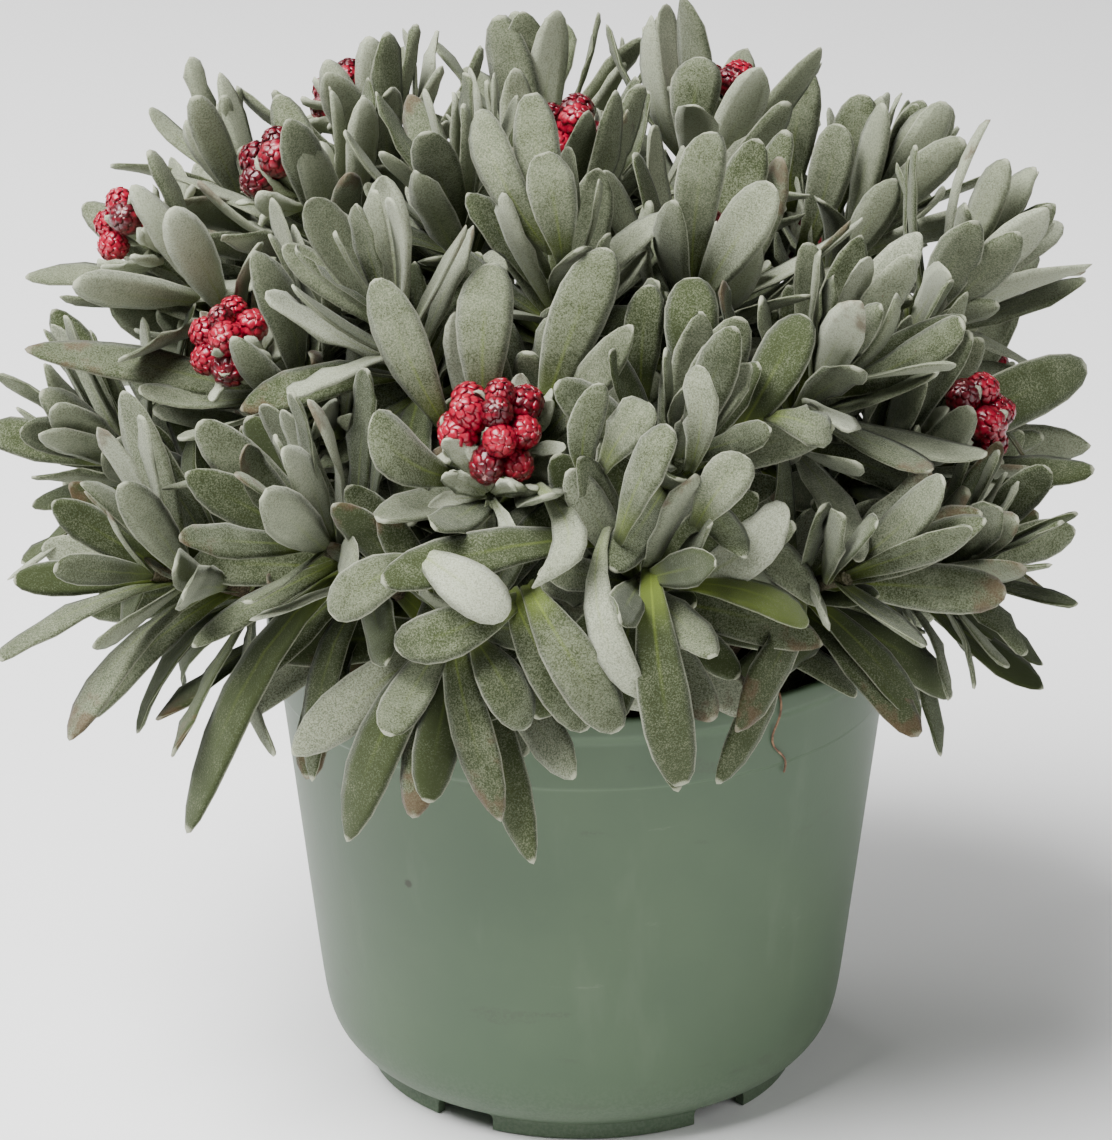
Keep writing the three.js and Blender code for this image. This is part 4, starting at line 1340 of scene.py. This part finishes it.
def cluster_tree():
    """Covers a round core with scales in a spiral, and sets that bud on each point of a cluster."""
    inputs = (("Scale", "Object"), ("Bud Red", "Material"), ("Scales", "Int"), ("Scale Size", "Float"))
    maker, given, close = geometry_tree("bud_cluster", inputs)
    line = maker.add("GeometryNodeMeshLine", {"mode": "OFFSET"}, {"Count": given["Scales"], "Offset": (0, 0, 0)})
    index = maker.add("GeometryNodeInputIndex")
    height = (index + 0.5) / given["Scales"]
    lean = (1 - height * 1.8).math("ARCCOSINE")
    spin = index * math.radians(GOLDEN_DEG)
    flat = lean.math("SINE")
    way = maker.combine(flat * spin.math("COSINE"), flat * spin.math("SINE"), lean.math("COSINE"))
    spread = maker.add("GeometryNodeSetPosition", {}, {"Geometry": line, "Position": way * (0.8, 0.8, 0.88)})
    upright = maker.facing("Y", (0, 0, 1), Rotation=maker.facing("Z", way))
    scales = maker.copies(
        Points=spread,
        Instance=maker.marked(given["Scale"], "scale_place"),
        Rotation=maker.turned(upright, (math.radians(-14), 0, 0)),
        Scale=given["Scale Size"] * (0.62 + flat * 0.42),
    )
    core = maker.add("GeometryNodeMeshUVSphere", {}, {"Segments": 12, "Rings": 7, "Radius": 0.82})

    width, length, turn = maker.field("bud_shape").parts()
    spin = maker.add("FunctionNodeEulerToRotation", {}, {0: maker.combine(0.0, 0.0, turn)})
    buds = maker.copies(
        Points=given["Geometry"],
        Instance=maker.join(core, scales),
        Rotation=maker.turned(maker.facing("Z", maker.field("bud_axis")), spin),
        Scale=maker.combine(width, width, length),
    )
    return close(maker.coated(buds, given["Bud Red"]))


def bud_places(stem, index):
    """The middle, direction and radius of each bud, as the part's solids have them."""
    draw = number_stream(BUD_SEED * (index + 1))
    turn_up = Vector((0, 0, 1)).rotation_difference(Vector(stem.axis))
    for k in range(stem.buds):
        polar = math.acos(1 - ((k + 0.35) / stem.buds) * BUD_CAP)
        turn = math.radians(k * GOLDEN_DEG + draw() * 20)
        out = math.sin(polar)
        way = turn_up @ Vector((out * math.cos(turn), out * math.sin(turn), math.cos(polar)))
        radius = BUD_RADIUS * mix(0.8, 1.05, draw())
        yield stem.bud_middle + np.array(way) * stem.bud_ring, np.array(way), radius


def bud_piece(stem, index, tree, values, fullness):
    """One cluster's scaly buds, from points that hold each bud's direction, size and look."""
    rows = list(bud_places(stem, index))
    draw = number_stream(BUD_LOOK_SEED * (index + 1))
    mesh = mesh_of("buds_" + stem.name, in_frame([place for place, _, _ in rows]), ())
    shapes = []
    for _, _, radius in rows:
        full = radius * fullness * MM * mix(0.86, 1.14, draw())
        shapes.append((full, full * mix(1.0, 1.2, draw()), draw() * 2 * math.pi))
    store(mesh, "bud_axis", [way for _, way, _ in rows])
    store(mesh, "bud_shape", shapes)
    store(mesh, "bud_look", [draw() for _ in rows], "FLOAT")
    piece = grown_from(new_piece("scaly_" + mesh.name, mesh), tree, values)
    return settle(piece, "bud", "buds_" + stem.name)


def bud_red(look):
    """Crimson scales with painted shade in their folds and painted light on their raised middles, and pale pink
    woolly tips.
    """
    maker, finish = new_material("bud_red")
    place = maker.add("ShaderNodeTexCoord", {}, {}, "Object")
    _, y, z = maker.attribute("scale_place").parts()
    tone = maker.attribute("bud_look", "Fac")
    fine = maker.noise(place, 3000, 2, 0.6)
    cloud = maker.noise(place, 500, 2, 0.5)
    # The scales' low rims and the folds between them take painted shade, their raised middles the full red.
    high = z.ramp(-0.18, 0.12)
    deep = maker.blend(high, look.fold_shade_colour, look.red_colour)
    # Brighter red on the raised middles of the scales: partly each bud's own varied tone, partly painted light.
    red_with_lit_tops = maker.blend((tone * 0.3 + cloud * 0.7).ramp(0.35, 0.65) * high, deep, look.lit_red_colour)
    some = maker.noise(place, 750, 1, 0.5).ramp(0.45, 0.53)
    tip = (y + fine * 0.2 - 0.1).ramp(0.3, 0.42) * some
    woolly = maker.blend(tip * 0.8, red_with_lit_tops, look.tip_colour)
    sockets = {
        "Base Color": woolly,
        "Roughness": 0.3,
        "Specular IOR Level": 0.5,
        "Coat Weight": 0.25,
        "Coat Roughness": 0.2,
    }
    return finish(sockets, bump=(fine, 0.25, 0.0002))


# The pot's outline from the middle of its underside round to the middle of its floor: radius, height
# and how far the corner is rounded, in millimetres.
POT_OUTLINE = (
    (0, 4.6, 0), (42.6, 4.6, 0.8), (42.6, 0, 0.4), (45, 0, 0.6), (45, 3.6, 0.5), (49.2, 6.1, 5),
    (52.6, 10.4, 5), (54.3, 16, 8), (62.3, 84.9, 0.3), (62.9, 85.6, 0.4), (63.4, 95.2, 0.9),
    (65, 97.3, 0.6), (65, 101, 1.1), (63.5, 101, 0.6), (61.9, 95.2, 1.5), (60.8, 85, 4),
    (52.8, 16, 6), (43.5, 6, 3), (0, 6, 0),
)
POT_SIDES = 180
NOTCHES = 5
NOTCH_WIDTH = 13.5
NOTCH_HEIGHT = 4.4
NOTCH_CORNER = 2.2
FIRST_NOTCH_DEG = -32.8
NOTCH_REACH = (37, 53)
DRAIN_RADIUS = 3.5
DRAIN_RING_RADIUS = 30
DRAIN_REACH = (2, 9)
DRAIN_SIDES = 24
# The dark speck on the pot's front
POT_SPECK = (-35, -48, 58.7)


def rounded_outline(corners):
    """An outline's points, with each corner replaced by a short curve."""
    points, steps = [], 4
    for k, (x, z, radius) in enumerate(corners):
        here = np.array((x, z), float)
        if not radius:
            points.append(here)
            continue
        before, after = (np.array(corners[j][:2], float) for j in (k - 1, k + 1))
        start = here + unit(before - here) * min(radius, math.dist(before, here) * 0.45)
        end = here + unit(after - here) * min(radius, math.dist(after, here) * 0.45)
        points += [curve_point((start, here, end), j / steps) for j in range(steps + 1)]
    return points


def lathed(name, outline, sides):
    """A closed mesh turned about the pot's axis from an outline that starts and ends on it."""
    ring = [2 * math.pi * k / sides for k in range(sides)]
    inner = outline[1:-1]
    points = [(r * math.cos(a), r * math.sin(a), z) for r, z in inner for a in ring]
    points += [(0, 0, outline[0][1]), (0, 0, outline[-1][1])]
    faces = band_faces(len(inner), sides)
    faces += [face[::-1] for face in fan_faces(0, sides, len(points) - 2)]
    faces += fan_faces((len(inner) - 1) * sides, sides, len(points) - 1)
    return outward(mesh_of(name, in_frame(points), faces))


def prism(name, outline, depths, place):
    """A closed prism of a flat outline between two depths, put in place by a function."""
    count = len(outline)
    points = [place(x, depth, z) for depth in depths for x, z in outline]
    faces = [tuple(range(count)), tuple(range(2 * count - 1, count - 1, -1)), *band_faces(2, count)]
    return new_piece(name, outward(mesh_of(name, in_frame(points), faces)))


def pot_cutters():
    """The five arched notches in the foot and the drain holes beside them."""
    half, high, corner = NOTCH_WIDTH / 2, NOTCH_HEIGHT, NOTCH_CORNER
    arc = [math.radians(a) for a in range(0, 91, 15)]
    right = [(half - corner + corner * math.cos(a), high - corner + corner * math.sin(a)) for a in arc]
    arch = [(-half, -1), (half, -1), *right, *[(-x, z) for x, z in reversed(right)]]
    ring = [2 * math.pi * k / DRAIN_SIDES for k in range(DRAIN_SIDES)]
    circle = [(DRAIN_RADIUS * math.cos(a), DRAIN_RADIUS * math.sin(a)) for a in ring]
    cutters = []
    for k in range(NOTCHES):
        turn = math.radians(FIRST_NOTCH_DEG + 360 * k / NOTCHES)

        def across(x, depth, z):
            return (x * math.cos(turn) + depth * math.sin(turn), x * math.sin(turn) - depth * math.cos(turn), z)

        def down(x, depth, y):
            return across(x, DRAIN_RING_RADIUS + y, depth)

        cutters.append(prism(f"notch_{k}", arch, NOTCH_REACH, across))
        cutters.append(prism(f"drain_{k}", circle, DRAIN_REACH, down))
    return cutters


def pot_plastic(look):
    """Moulded grey-green plastic: a soft sheen, fine mould grain, scuffs and a little dust."""
    maker, finish = new_material("pot_plastic")
    place = maker.add("ShaderNodeTexCoord", {}, {}, "Object")
    grain = maker.noise(place, 1500, 3, 0.6)
    cloud = maker.noise(place, 18, 4, 0.55)
    streak = maker.noise(place * (1.0, 1.0, 0.25), 90, 4, 0.6)
    scratch = maker.noise(place * (0.35, 0.35, 2.2), 160, 5, 0.7)
    shaded = maker.blend(cloud.ramp(0.35, 0.68), look.deep_colour, look.pot_colour)
    streaked = maker.blend(streak.ramp(0.56, 0.75) * 0.08, shaded, look.dust_colour)
    scuff = scratch.ramp(0.66, 0.74) * cloud.ramp(0.5, 0.6)
    scuffed = maker.blend(scuff * 0.3, streaked, look.dust_colour)
    height = place.parts()[2]
    foot_dust = (1 - height.ramp(0.004, 0.02)) * grain.ramp(0.35, 0.65)
    dusty = maker.blend(foot_dust * 0.25, scuffed, look.dust_colour)
    specks = (1 - maker.cells(place, 75).ramp(0.03, 0.055)) * (cloud > 0.6)
    dirty = maker.blend(specks * 0.55, dusty, shade("4A3A2C"))
    smear = maker.noise(place * (0.55, 0.55, 1.7), 75, 4, 0.6).ramp(0.62, 0.7) * grain.ramp(0.3, 0.6)
    smeared = maker.blend(smear * 0.35, dirty, shade("3F4338"))
    off = place.vector("DISTANCE", tuple(in_frame(POT_SPECK)))
    speck = 1 - (off + grain * 0.0006).ramp(0.0008, 0.0015)
    specked = maker.blend(speck * 0.75, smeared, shade("2A251C"))
    rough = 0.42 + cloud * 0.12 + scuff * 0.2
    sockets = {"Base Color": specked, "Roughness": rough, "Specular IOR Level": 0.3}
    return finish(sockets, bump=(grain + cloud * 2, 0.06, 0.0004))


def moist_peat(look):
    """Dark moist peat with pale fibres."""
    maker, finish = new_material("moist_peat")
    place = maker.add("ShaderNodeTexCoord", {}, {}, "Object")
    fine = maker.noise(place, 900, 4, 0.65)
    cloud = maker.noise(place, 120, 3, 0.6)
    dark = maker.blend(fine.ramp(0.35, 0.7), look.wet_colour, look.peat_colour)
    fibre = maker.noise(place * (1.0, 3.5, 1.0), 700, 3, 0.6)
    mixed = maker.blend(fibre.ramp(0.62, 0.72) * cloud.ramp(0.4, 0.6) * 0.6, dark, look.fibre_colour)
    return finish({"Base Color": mixed, "Roughness": 0.95}, bump=(fine + cloud, 0.8, 0.001))


def crumb_tree():
    """Strews crumbs over the upward faces of the peat."""
    inputs = (
        ("Crumb", "Object"), ("Peat", "Material"), ("Density", "Float"),
        ("Smallest", "Float"), ("Largest", "Float"),
    )
    maker, given, close = geometry_tree("peat_crumbs", inputs)
    normal = maker.add("GeometryNodeInputNormal").parts()[2]
    strewn = maker.add(
        "GeometryNodeDistributePointsOnFaces", {},
        {"Mesh": given["Geometry"], "Selection": normal > 0.6, "Density": given["Density"], "Seed": 5},
    )
    turn = maker.add(
        "FunctionNodeRandomValue", {"data_type": "FLOAT_VECTOR"},
        {0: (0.0, 0.0, 0.0), 1: (6.28, 6.28, 6.28), "Seed": 3},
    )
    size = maker.add("FunctionNodeRandomValue", {"data_type": "FLOAT"}, {2: 0.0, 3: 1.0, "Seed": 8}, 1)
    crumbs = maker.copies(
        Points=strewn,
        Instance=maker.add("GeometryNodeObjectInfo", {}, {"Object": given["Crumb"]}, "Geometry"),
        Rotation=turn,
        Scale=given["Smallest"] + (given["Largest"] - given["Smallest"]) * size**3.0,
    )
    return close(maker.coated(maker.join(given["Geometry"], crumbs), given["Peat"]))


# The peat's outline inside the pot, up to the edge of its top, and the rings and sides of that top
PEAT_RADIUS = 60.1
PEAT_INSIDE = ((0, 6.3), (43, 6.3), (52, 16), (PEAT_RADIUS, 85), (PEAT_RADIUS, 89.2))
PEAT_RINGS = 46
PEAT_SIDES = 120
PEAT_EDGE = 4


def peat_mesh():
    """The peat in the pot, uneven on top as its solid is."""
    rings = np.linspace(PEAT_RADIUS, 0, PEAT_RINGS)[1:]
    mesh = lathed("peat", [*PEAT_INSIDE, *((r, SOIL_Z) for r in rings)], PEAT_SIDES)
    for vertex in mesh.vertices:
        x, y, z = (np.array(vertex.co) - POT_PLACE) / MM
        if z > SOIL_Z - 0.5:
            coarse = noise.noise(Vector((x, y, 3.1)) * 0.16) * 1.1
            lump = coarse + noise.noise(Vector((x, y, 9.4)) * 0.6) * 0.6
            fade = clamped((PEAT_RADIUS - math.hypot(x, y)) / PEAT_EDGE)
            vertex.co.z = (float(soil_height(x, y)) + lump * fade) * MM
    return mesh


def crumb_template():
    """One lumpy crumb of peat of about unit radius."""
    work = bmesh.new()
    bmesh.ops.create_icosphere(work, subdivisions=1, radius=1)
    for vertex in work.verts:
        vertex.co *= 1 + noise.noise(vertex.co * 1.7 + Vector((4, 2, 7))) * 0.5
        vertex.co.z *= 0.7
    mesh = bpy.data.meshes.new("crumb_template")
    work.to_mesh(mesh)
    work.free()
    return new_piece("crumb_template", mesh)


# The root strand's points on the pot's outside: how far right, how high and how far from the axis
ROOT_POINTS = (
    (38.0, 101.6, 64.6), (38.6, 99.5, 65.6), (38.2, 96.6, 65.4), (37.4, 94.2, 63.9), (36.6, 91.6, 63.5),
    (37.3, 89.3, 63.45), (39.0, 87.6, 63.4), (40.0, 85.4, 63.2), (39.4, 83.2, 62.6),
)
ROOT_RADIUS = 0.00022


def root_strand_curve():
    """A dry root that hangs over the lip and clings to the band."""
    curve = bpy.data.curves.new("root_strand", "CURVE")
    curve.dimensions = "3D"
    curve.bevel_depth = ROOT_RADIUS
    curve.bevel_resolution = 2
    curve.use_fill_caps = True
    spline = curve.splines.new("NURBS")
    spline.points.add(len(ROOT_POINTS) - 1)
    spline.use_endpoint_u = True
    spline.order_u = 4
    for point, (x, z, radius) in zip(spline.points, ROOT_POINTS):
        y = -math.sqrt(radius * radius - x * x)
        point.co = (*in_frame((x, y, z)), 1)
    return curve


def dry_root():
    maker, finish = new_material("dry_root")
    place = maker.add("ShaderNodeTexCoord", {}, {}, "Object")
    colour = maker.blend(maker.noise(place, 800, 2, 0.5).ramp(0.35, 0.65), shade("5A4030"), shade("8A6A50"))
    return finish({"Base Color": colour, "Roughness": 0.85})


class PotSettings(bpy.types.PropertyGroup):
    pot_colour: FloatVectorProperty(
        name="Pot Colour", description="Moulded grey-green of the pot", subtype="COLOR", default=shade("495A44"),
        min=0, max=1)
    deep_colour: FloatVectorProperty(
        name="Deep Colour", description="The pot's colour where it is a little darker", subtype="COLOR",
        default=shade("435440"), min=0, max=1)
    dust_colour: FloatVectorProperty(
        name="Dust Colour", description="Dust and scuffs on the pot", subtype="COLOR", default=shade("76806F"),
        min=0, max=1)


class PeatSettings(bpy.types.PropertyGroup):
    wet_colour: FloatVectorProperty(
        name="Wet Colour", description="Dark wet peat", subtype="COLOR", default=shade("1B1410"), min=0, max=1)
    peat_colour: FloatVectorProperty(
        name="Peat Colour", description="Peat that has dried a little", subtype="COLOR", default=shade("4A3828"),
        min=0, max=1)
    fibre_colour: FloatVectorProperty(
        name="Fibre Colour", description="Pale fibres in the peat", subtype="COLOR", default=shade("7A6248"),
        min=0, max=1)
    density: FloatProperty(
        name="Crumb Density", description="Crumbs for each square metre of peat", default=160000, min=0)
    smallest: FloatProperty(
        name="Smallest Crumb", description="Radius of the smallest crumb", default=0.0004, unit="LENGTH", min=0)
    largest: FloatProperty(
        name="Largest Crumb", description="Radius of the largest crumb", default=0.0022, unit="LENGTH", min=0)


class LeafSettings(bpy.types.PropertyGroup):
    felt_colour: FloatVectorProperty(
        name="Felt Colour", description="Silver wool on the upper side", subtype="COLOR",
        default=shade("898F77"), min=0, max=1)
    green_colour: FloatVectorProperty(
        name="Green Colour", description="The green under the wool", subtype="COLOR", default=shade("353E20"),
        min=0, max=1)
    pale_colour: FloatVectorProperty(
        name="Pale Colour", description="The palest leaves", subtype="COLOR", default=shade("B7BCA6"), min=0, max=1)
    rib_colour: FloatVectorProperty(
        name="Rib Colour", description="Yellow-green of the rib and the leaf's foot", subtype="COLOR",
        default=shade("7A8C34"), min=0, max=1)
    margin_colour: FloatVectorProperty(
        name="Margin Colour", description="Pale wool along the margin", subtype="COLOR",
        default=shade("ADB099"), min=0, max=1)
    under_colour: FloatVectorProperty(
        name="Underside Colour", description="Paler wool on the underside", subtype="COLOR",
        default=shade("8F947E"), min=0, max=1)
    dry_colour: FloatVectorProperty(
        name="Dry Colour", description="Brown of dry tips and spots", subtype="COLOR", default=shade("543C2A"),
        min=0, max=1)
    thickness: FloatProperty(
        name="Thickness", description="Thickness of a leaf in the middle", default=0.0009, unit="LENGTH",
        min=0.0002)


class BudSettings(bpy.types.PropertyGroup):
    red_colour: FloatVectorProperty(
        name="Red Colour", description="Crimson of the scales", subtype="COLOR", default=shade("4E0212"),
        min=0, max=1)
    # The bright colour is partly the scales' own brighter red, partly painted light on their raised middles.
    lit_red_colour: FloatVectorProperty(
        name="Bright Colour", description="The brightest red", subtype="COLOR", default=shade("A00A2C"),
        min=0, max=1)
    # The fold colour is painted shade between the scales.
    fold_shade_colour: FloatVectorProperty(
        name="Fold Colour", description="Dark red between the scales", subtype="COLOR", default=shade("36020A"),
        min=0, max=1)
    tip_colour: FloatVectorProperty(
        name="Tip Colour", description="Pale pink wool on the scales' tips", subtype="COLOR",
        default=shade("E0A6A4"), min=0, max=1)
    fullness: FloatProperty(
        name="Fullness", description="A bud's size beside its solid's", default=1.27, min=0.5, max=1.5)
    scales: IntProperty(name="Scales", description="Scales on each bud", default=44, min=8, max=120)


class StageSettings(bpy.types.PropertyGroup):
    floor_colour: FloatVectorProperty(
        name="Floor Colour", description="The plain pale floor", subtype="COLOR", default=(0.95, 0.95, 0.95),
        min=0, max=1)
    key_power: FloatProperty(name="Key Light", description="Power of the large soft light", default=98, unit="POWER")
    fill_power: FloatProperty(name="Fill Light", description="Power of the fill light", default=10, unit="POWER")
    back_power: FloatProperty(name="Back Light", description="Power of the light behind", default=15, unit="POWER")
    sky: FloatProperty(name="Surrounding Light", description="Strength of the pale surroundings", default=0.07)


class HELICHRYSUM_OT_pot(bpy.types.Operator):
    """Builds the nursery pot with its lip, band, notched foot and drain holes"""

    bl_idname = "helichrysum.pot"
    bl_label = "Build Pot"

    def execute(self, context):
        look = context.scene.helichrysum_pot
        pot = new_piece("nursery_pot", lathed("nursery_pot", rounded_outline(POT_OUTLINE), POT_SIDES))
        cutters = pot_cutters()
        for cutter in cutters:
            cut = pot.modifiers.new(cutter.name, "BOOLEAN")
            cut.operation = "DIFFERENCE"
            cut.solver = "EXACT"
            cut.object = cutter
        plain(pot)
        for cutter in cutters:
            discard(cutter)
        pot.data.materials.clear()
        pot.data.materials.append(pot_plastic(look))
        settle(pot, "pot", "pot")
        pot.data.set_sharp_from_angle(angle=math.radians(35))
        return {"FINISHED"}


class HELICHRYSUM_OT_peat(bpy.types.Operator):
    """Fills the pot with dark peat and its crumbs"""

    bl_idname = "helichrysum.peat"
    bl_label = "Fill Peat"

    def execute(self, context):
        look = context.scene.helichrysum_peat
        crumb = crumb_template()
        values = {
            "Crumb": crumb, "Peat": moist_peat(look), "Density": look.density,
            "Smallest": look.smallest, "Largest": look.largest,
        }
        peat = grown_from(new_piece("peat_surface", peat_mesh()), crumb_tree(), values)
        discard(crumb)
        settle(peat, "soil", "soil")
        return {"FINISHED"}


class HELICHRYSUM_OT_shoots(bpy.types.Operator):
    """Grows every leafy shoot with its felted leaves"""

    bl_idname = "helichrysum.shoots"
    bl_label = "Grow Shoots"

    def execute(self, context):
        look = context.scene.helichrysum_leaf
        template = blade_template()
        values = {
            "Blade": template, "Leaf Felt": leaf_felt(look), "Stem Felt": stem_felt(look),
            "Thickness": look.thickness, "Stem Low Radius": STEM_LOW_RADIUS * MM,
            "Stem Top Radius": STEM_TOP_RADIUS * MM,
        }
        bush, tree = grown_bush(), leafy_tree()
        for index in range(len(bush.stems)):
            shoot_piece(bush, index, tree, values)
        discard(template)
        return {"FINISHED"}


class HELICHRYSUM_OT_buds(bpy.types.Operator):
    """Sets the clusters of scaly red buds on their shoots"""

    bl_idname = "helichrysum.buds"
    bl_label = "Set Buds"

    def execute(self, context):
        look = context.scene.helichrysum_bud
        template = scale_template()
        values = {"Scale": template, "Bud Red": bud_red(look), "Scales": look.scales, "Scale Size": 0.64}
        tree = cluster_tree()
        for index, stem in enumerate(grown_bush().stems):
            if stem.buds:
                bud_piece(stem, index, tree, values, look.fullness)
        discard(template)
        return {"FINISHED"}


class HELICHRYSUM_OT_root_strand(bpy.types.Operator):
    """Hangs a dry root strand over the pot's band"""

    bl_idname = "helichrysum.root_strand"
    bl_label = "Hang Root Strand"

    def execute(self, context):
        curve = root_strand_curve()
        holder = bpy.data.objects.new("root_strand", curve)
        bpy.context.scene.collection.objects.link(holder)
        depsgraph = context.evaluated_depsgraph_get()
        mesh = bpy.data.meshes.new_from_object(holder.evaluated_get(depsgraph))
        bpy.data.objects.remove(holder)
        bpy.data.curves.remove(curve)
        strand = new_piece("root_strand", outward(mesh))
        strand.data.materials.clear()
        strand.data.materials.append(dry_root())
        settle(strand, "soil")
        return {"FINISHED"}


FLOOR_HALF = 6.0
FLOOR_Z = -0.0001
# Each light: its name, its place in metres and the setting that holds its power
LIGHTS = (
    ("key_light", (-0.75, -0.5, 1.6), "key_power"),
    ("fill_light", (1.1, -0.9, 0.7), "fill_power"),
    ("back_light", (-0.9, 0.8, 1.2), "back_power"),
)
LIGHT_SIZE = 1.2
LIGHT_AIM_Z = 0.12
CAMERA_PLACE = (-5.5, -875, 438)
CAMERA_PITCH_DEG = 20.7
CAMERA_LENS = 144
CAMERA_SENSOR = 36


class HELICHRYSUM_OT_stage(bpy.types.Operator):
    """Sets the pale floor, the soft light and the camera"""

    bl_idname = "helichrysum.stage"
    bl_label = "Set Stage"

    def execute(self, context):
        look = context.scene.helichrysum_stage
        scene = context.scene
        corners = [(x * FLOOR_HALF, y * FLOOR_HALF, FLOOR_Z) for x, y in ((-1, -1), (1, -1), (1, 1), (-1, 1))]
        floor = new_piece("floor", mesh_of("floor", corners, [(0, 1, 2, 3)]))
        maker, finish = new_material("pale_floor")
        floor.data.materials.append(finish({"Base Color": opaque(look.floor_colour), "Roughness": 0.8}))
        floor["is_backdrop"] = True

        world = bpy.data.worlds.new("pale_surroundings")
        world.use_nodes = True
        background = world.node_tree.nodes["Background"]
        background.inputs["Color"].default_value = (1, 1, 1, 1)
        background.inputs["Strength"].default_value = look.sky
        scene.world = world
        for name, place, power in LIGHTS:
            self.add_light(scene, name, place, getattr(look, power))
        self.add_camera(scene)
        return {"FINISHED"}

    def add_light(self, scene, name, place, power):
        data = bpy.data.lights.new(name, "AREA")
        data.energy = power
        data.size = LIGHT_SIZE
        light = bpy.data.objects.new(name, data)
        light.location = Vector(place)
        aim = Vector((POT_PLACE[0], POT_PLACE[1], LIGHT_AIM_Z)) - light.location
        light.rotation_euler = aim.to_track_quat("-Z", "Y").to_euler()
        scene.collection.objects.link(light)

    def add_camera(self, scene):
        data = bpy.data.cameras.new("camera")
        data.lens = CAMERA_LENS
        data.sensor_width = CAMERA_SENSOR
        camera = bpy.data.objects.new("camera", data)
        camera.location = in_frame(CAMERA_PLACE)
        camera.rotation_euler = (math.radians(90 - CAMERA_PITCH_DEG), 0, 0)
        scene.collection.objects.link(camera)
        scene.camera = camera


class HELICHRYSUM_PT_panel(bpy.types.Panel):
    """Lists the steps and their sizes and colours"""

    bl_label = "Potted Helichrysum"
    bl_idname = "HELICHRYSUM_PT_panel"
    bl_space_type = "VIEW_3D"
    bl_region_type = "UI"
    bl_category = "Helichrysum"

    def draw(self, context):
        for operator in OPERATORS:
            self.layout.operator(operator.bl_idname)
        for name, group in SETTINGS:
            box = self.layout.box()
            for key in group.__annotations__:
                box.prop(getattr(context.scene, name), key)


SETTINGS = (
    ("helichrysum_pot", PotSettings),
    ("helichrysum_peat", PeatSettings),
    ("helichrysum_leaf", LeafSettings),
    ("helichrysum_bud", BudSettings),
    ("helichrysum_stage", StageSettings),
)
OPERATORS = (
    HELICHRYSUM_OT_stage,
    HELICHRYSUM_OT_pot,
    HELICHRYSUM_OT_peat,
    HELICHRYSUM_OT_shoots,
    HELICHRYSUM_OT_buds,
    HELICHRYSUM_OT_root_strand,
)


def register():
    for name, group in SETTINGS:
        bpy.utils.register_class(group)
        setattr(bpy.types.Scene, name, PointerProperty(type=group))
    for operator in OPERATORS:
        bpy.utils.register_class(operator)
    bpy.utils.register_class(HELICHRYSUM_PT_panel)


def unregister():
    bpy.utils.unregister_class(HELICHRYSUM_PT_panel)
    for operator in reversed(OPERATORS):
        bpy.utils.unregister_class(operator)
    for name, group in reversed(SETTINGS):
        delattr(bpy.types.Scene, name)
        bpy.utils.unregister_class(group)


def main():
    register()
    for operator in OPERATORS:
        family, step = operator.bl_idname.split(".")
        getattr(getattr(bpy.ops, family), step)()
    boxes = {"cad": CAD_BOX, "visual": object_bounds()}
    {name: [list(corner) for corner in box] for name, box in boxes.items()}


if __name__ == "__main__":
    main()
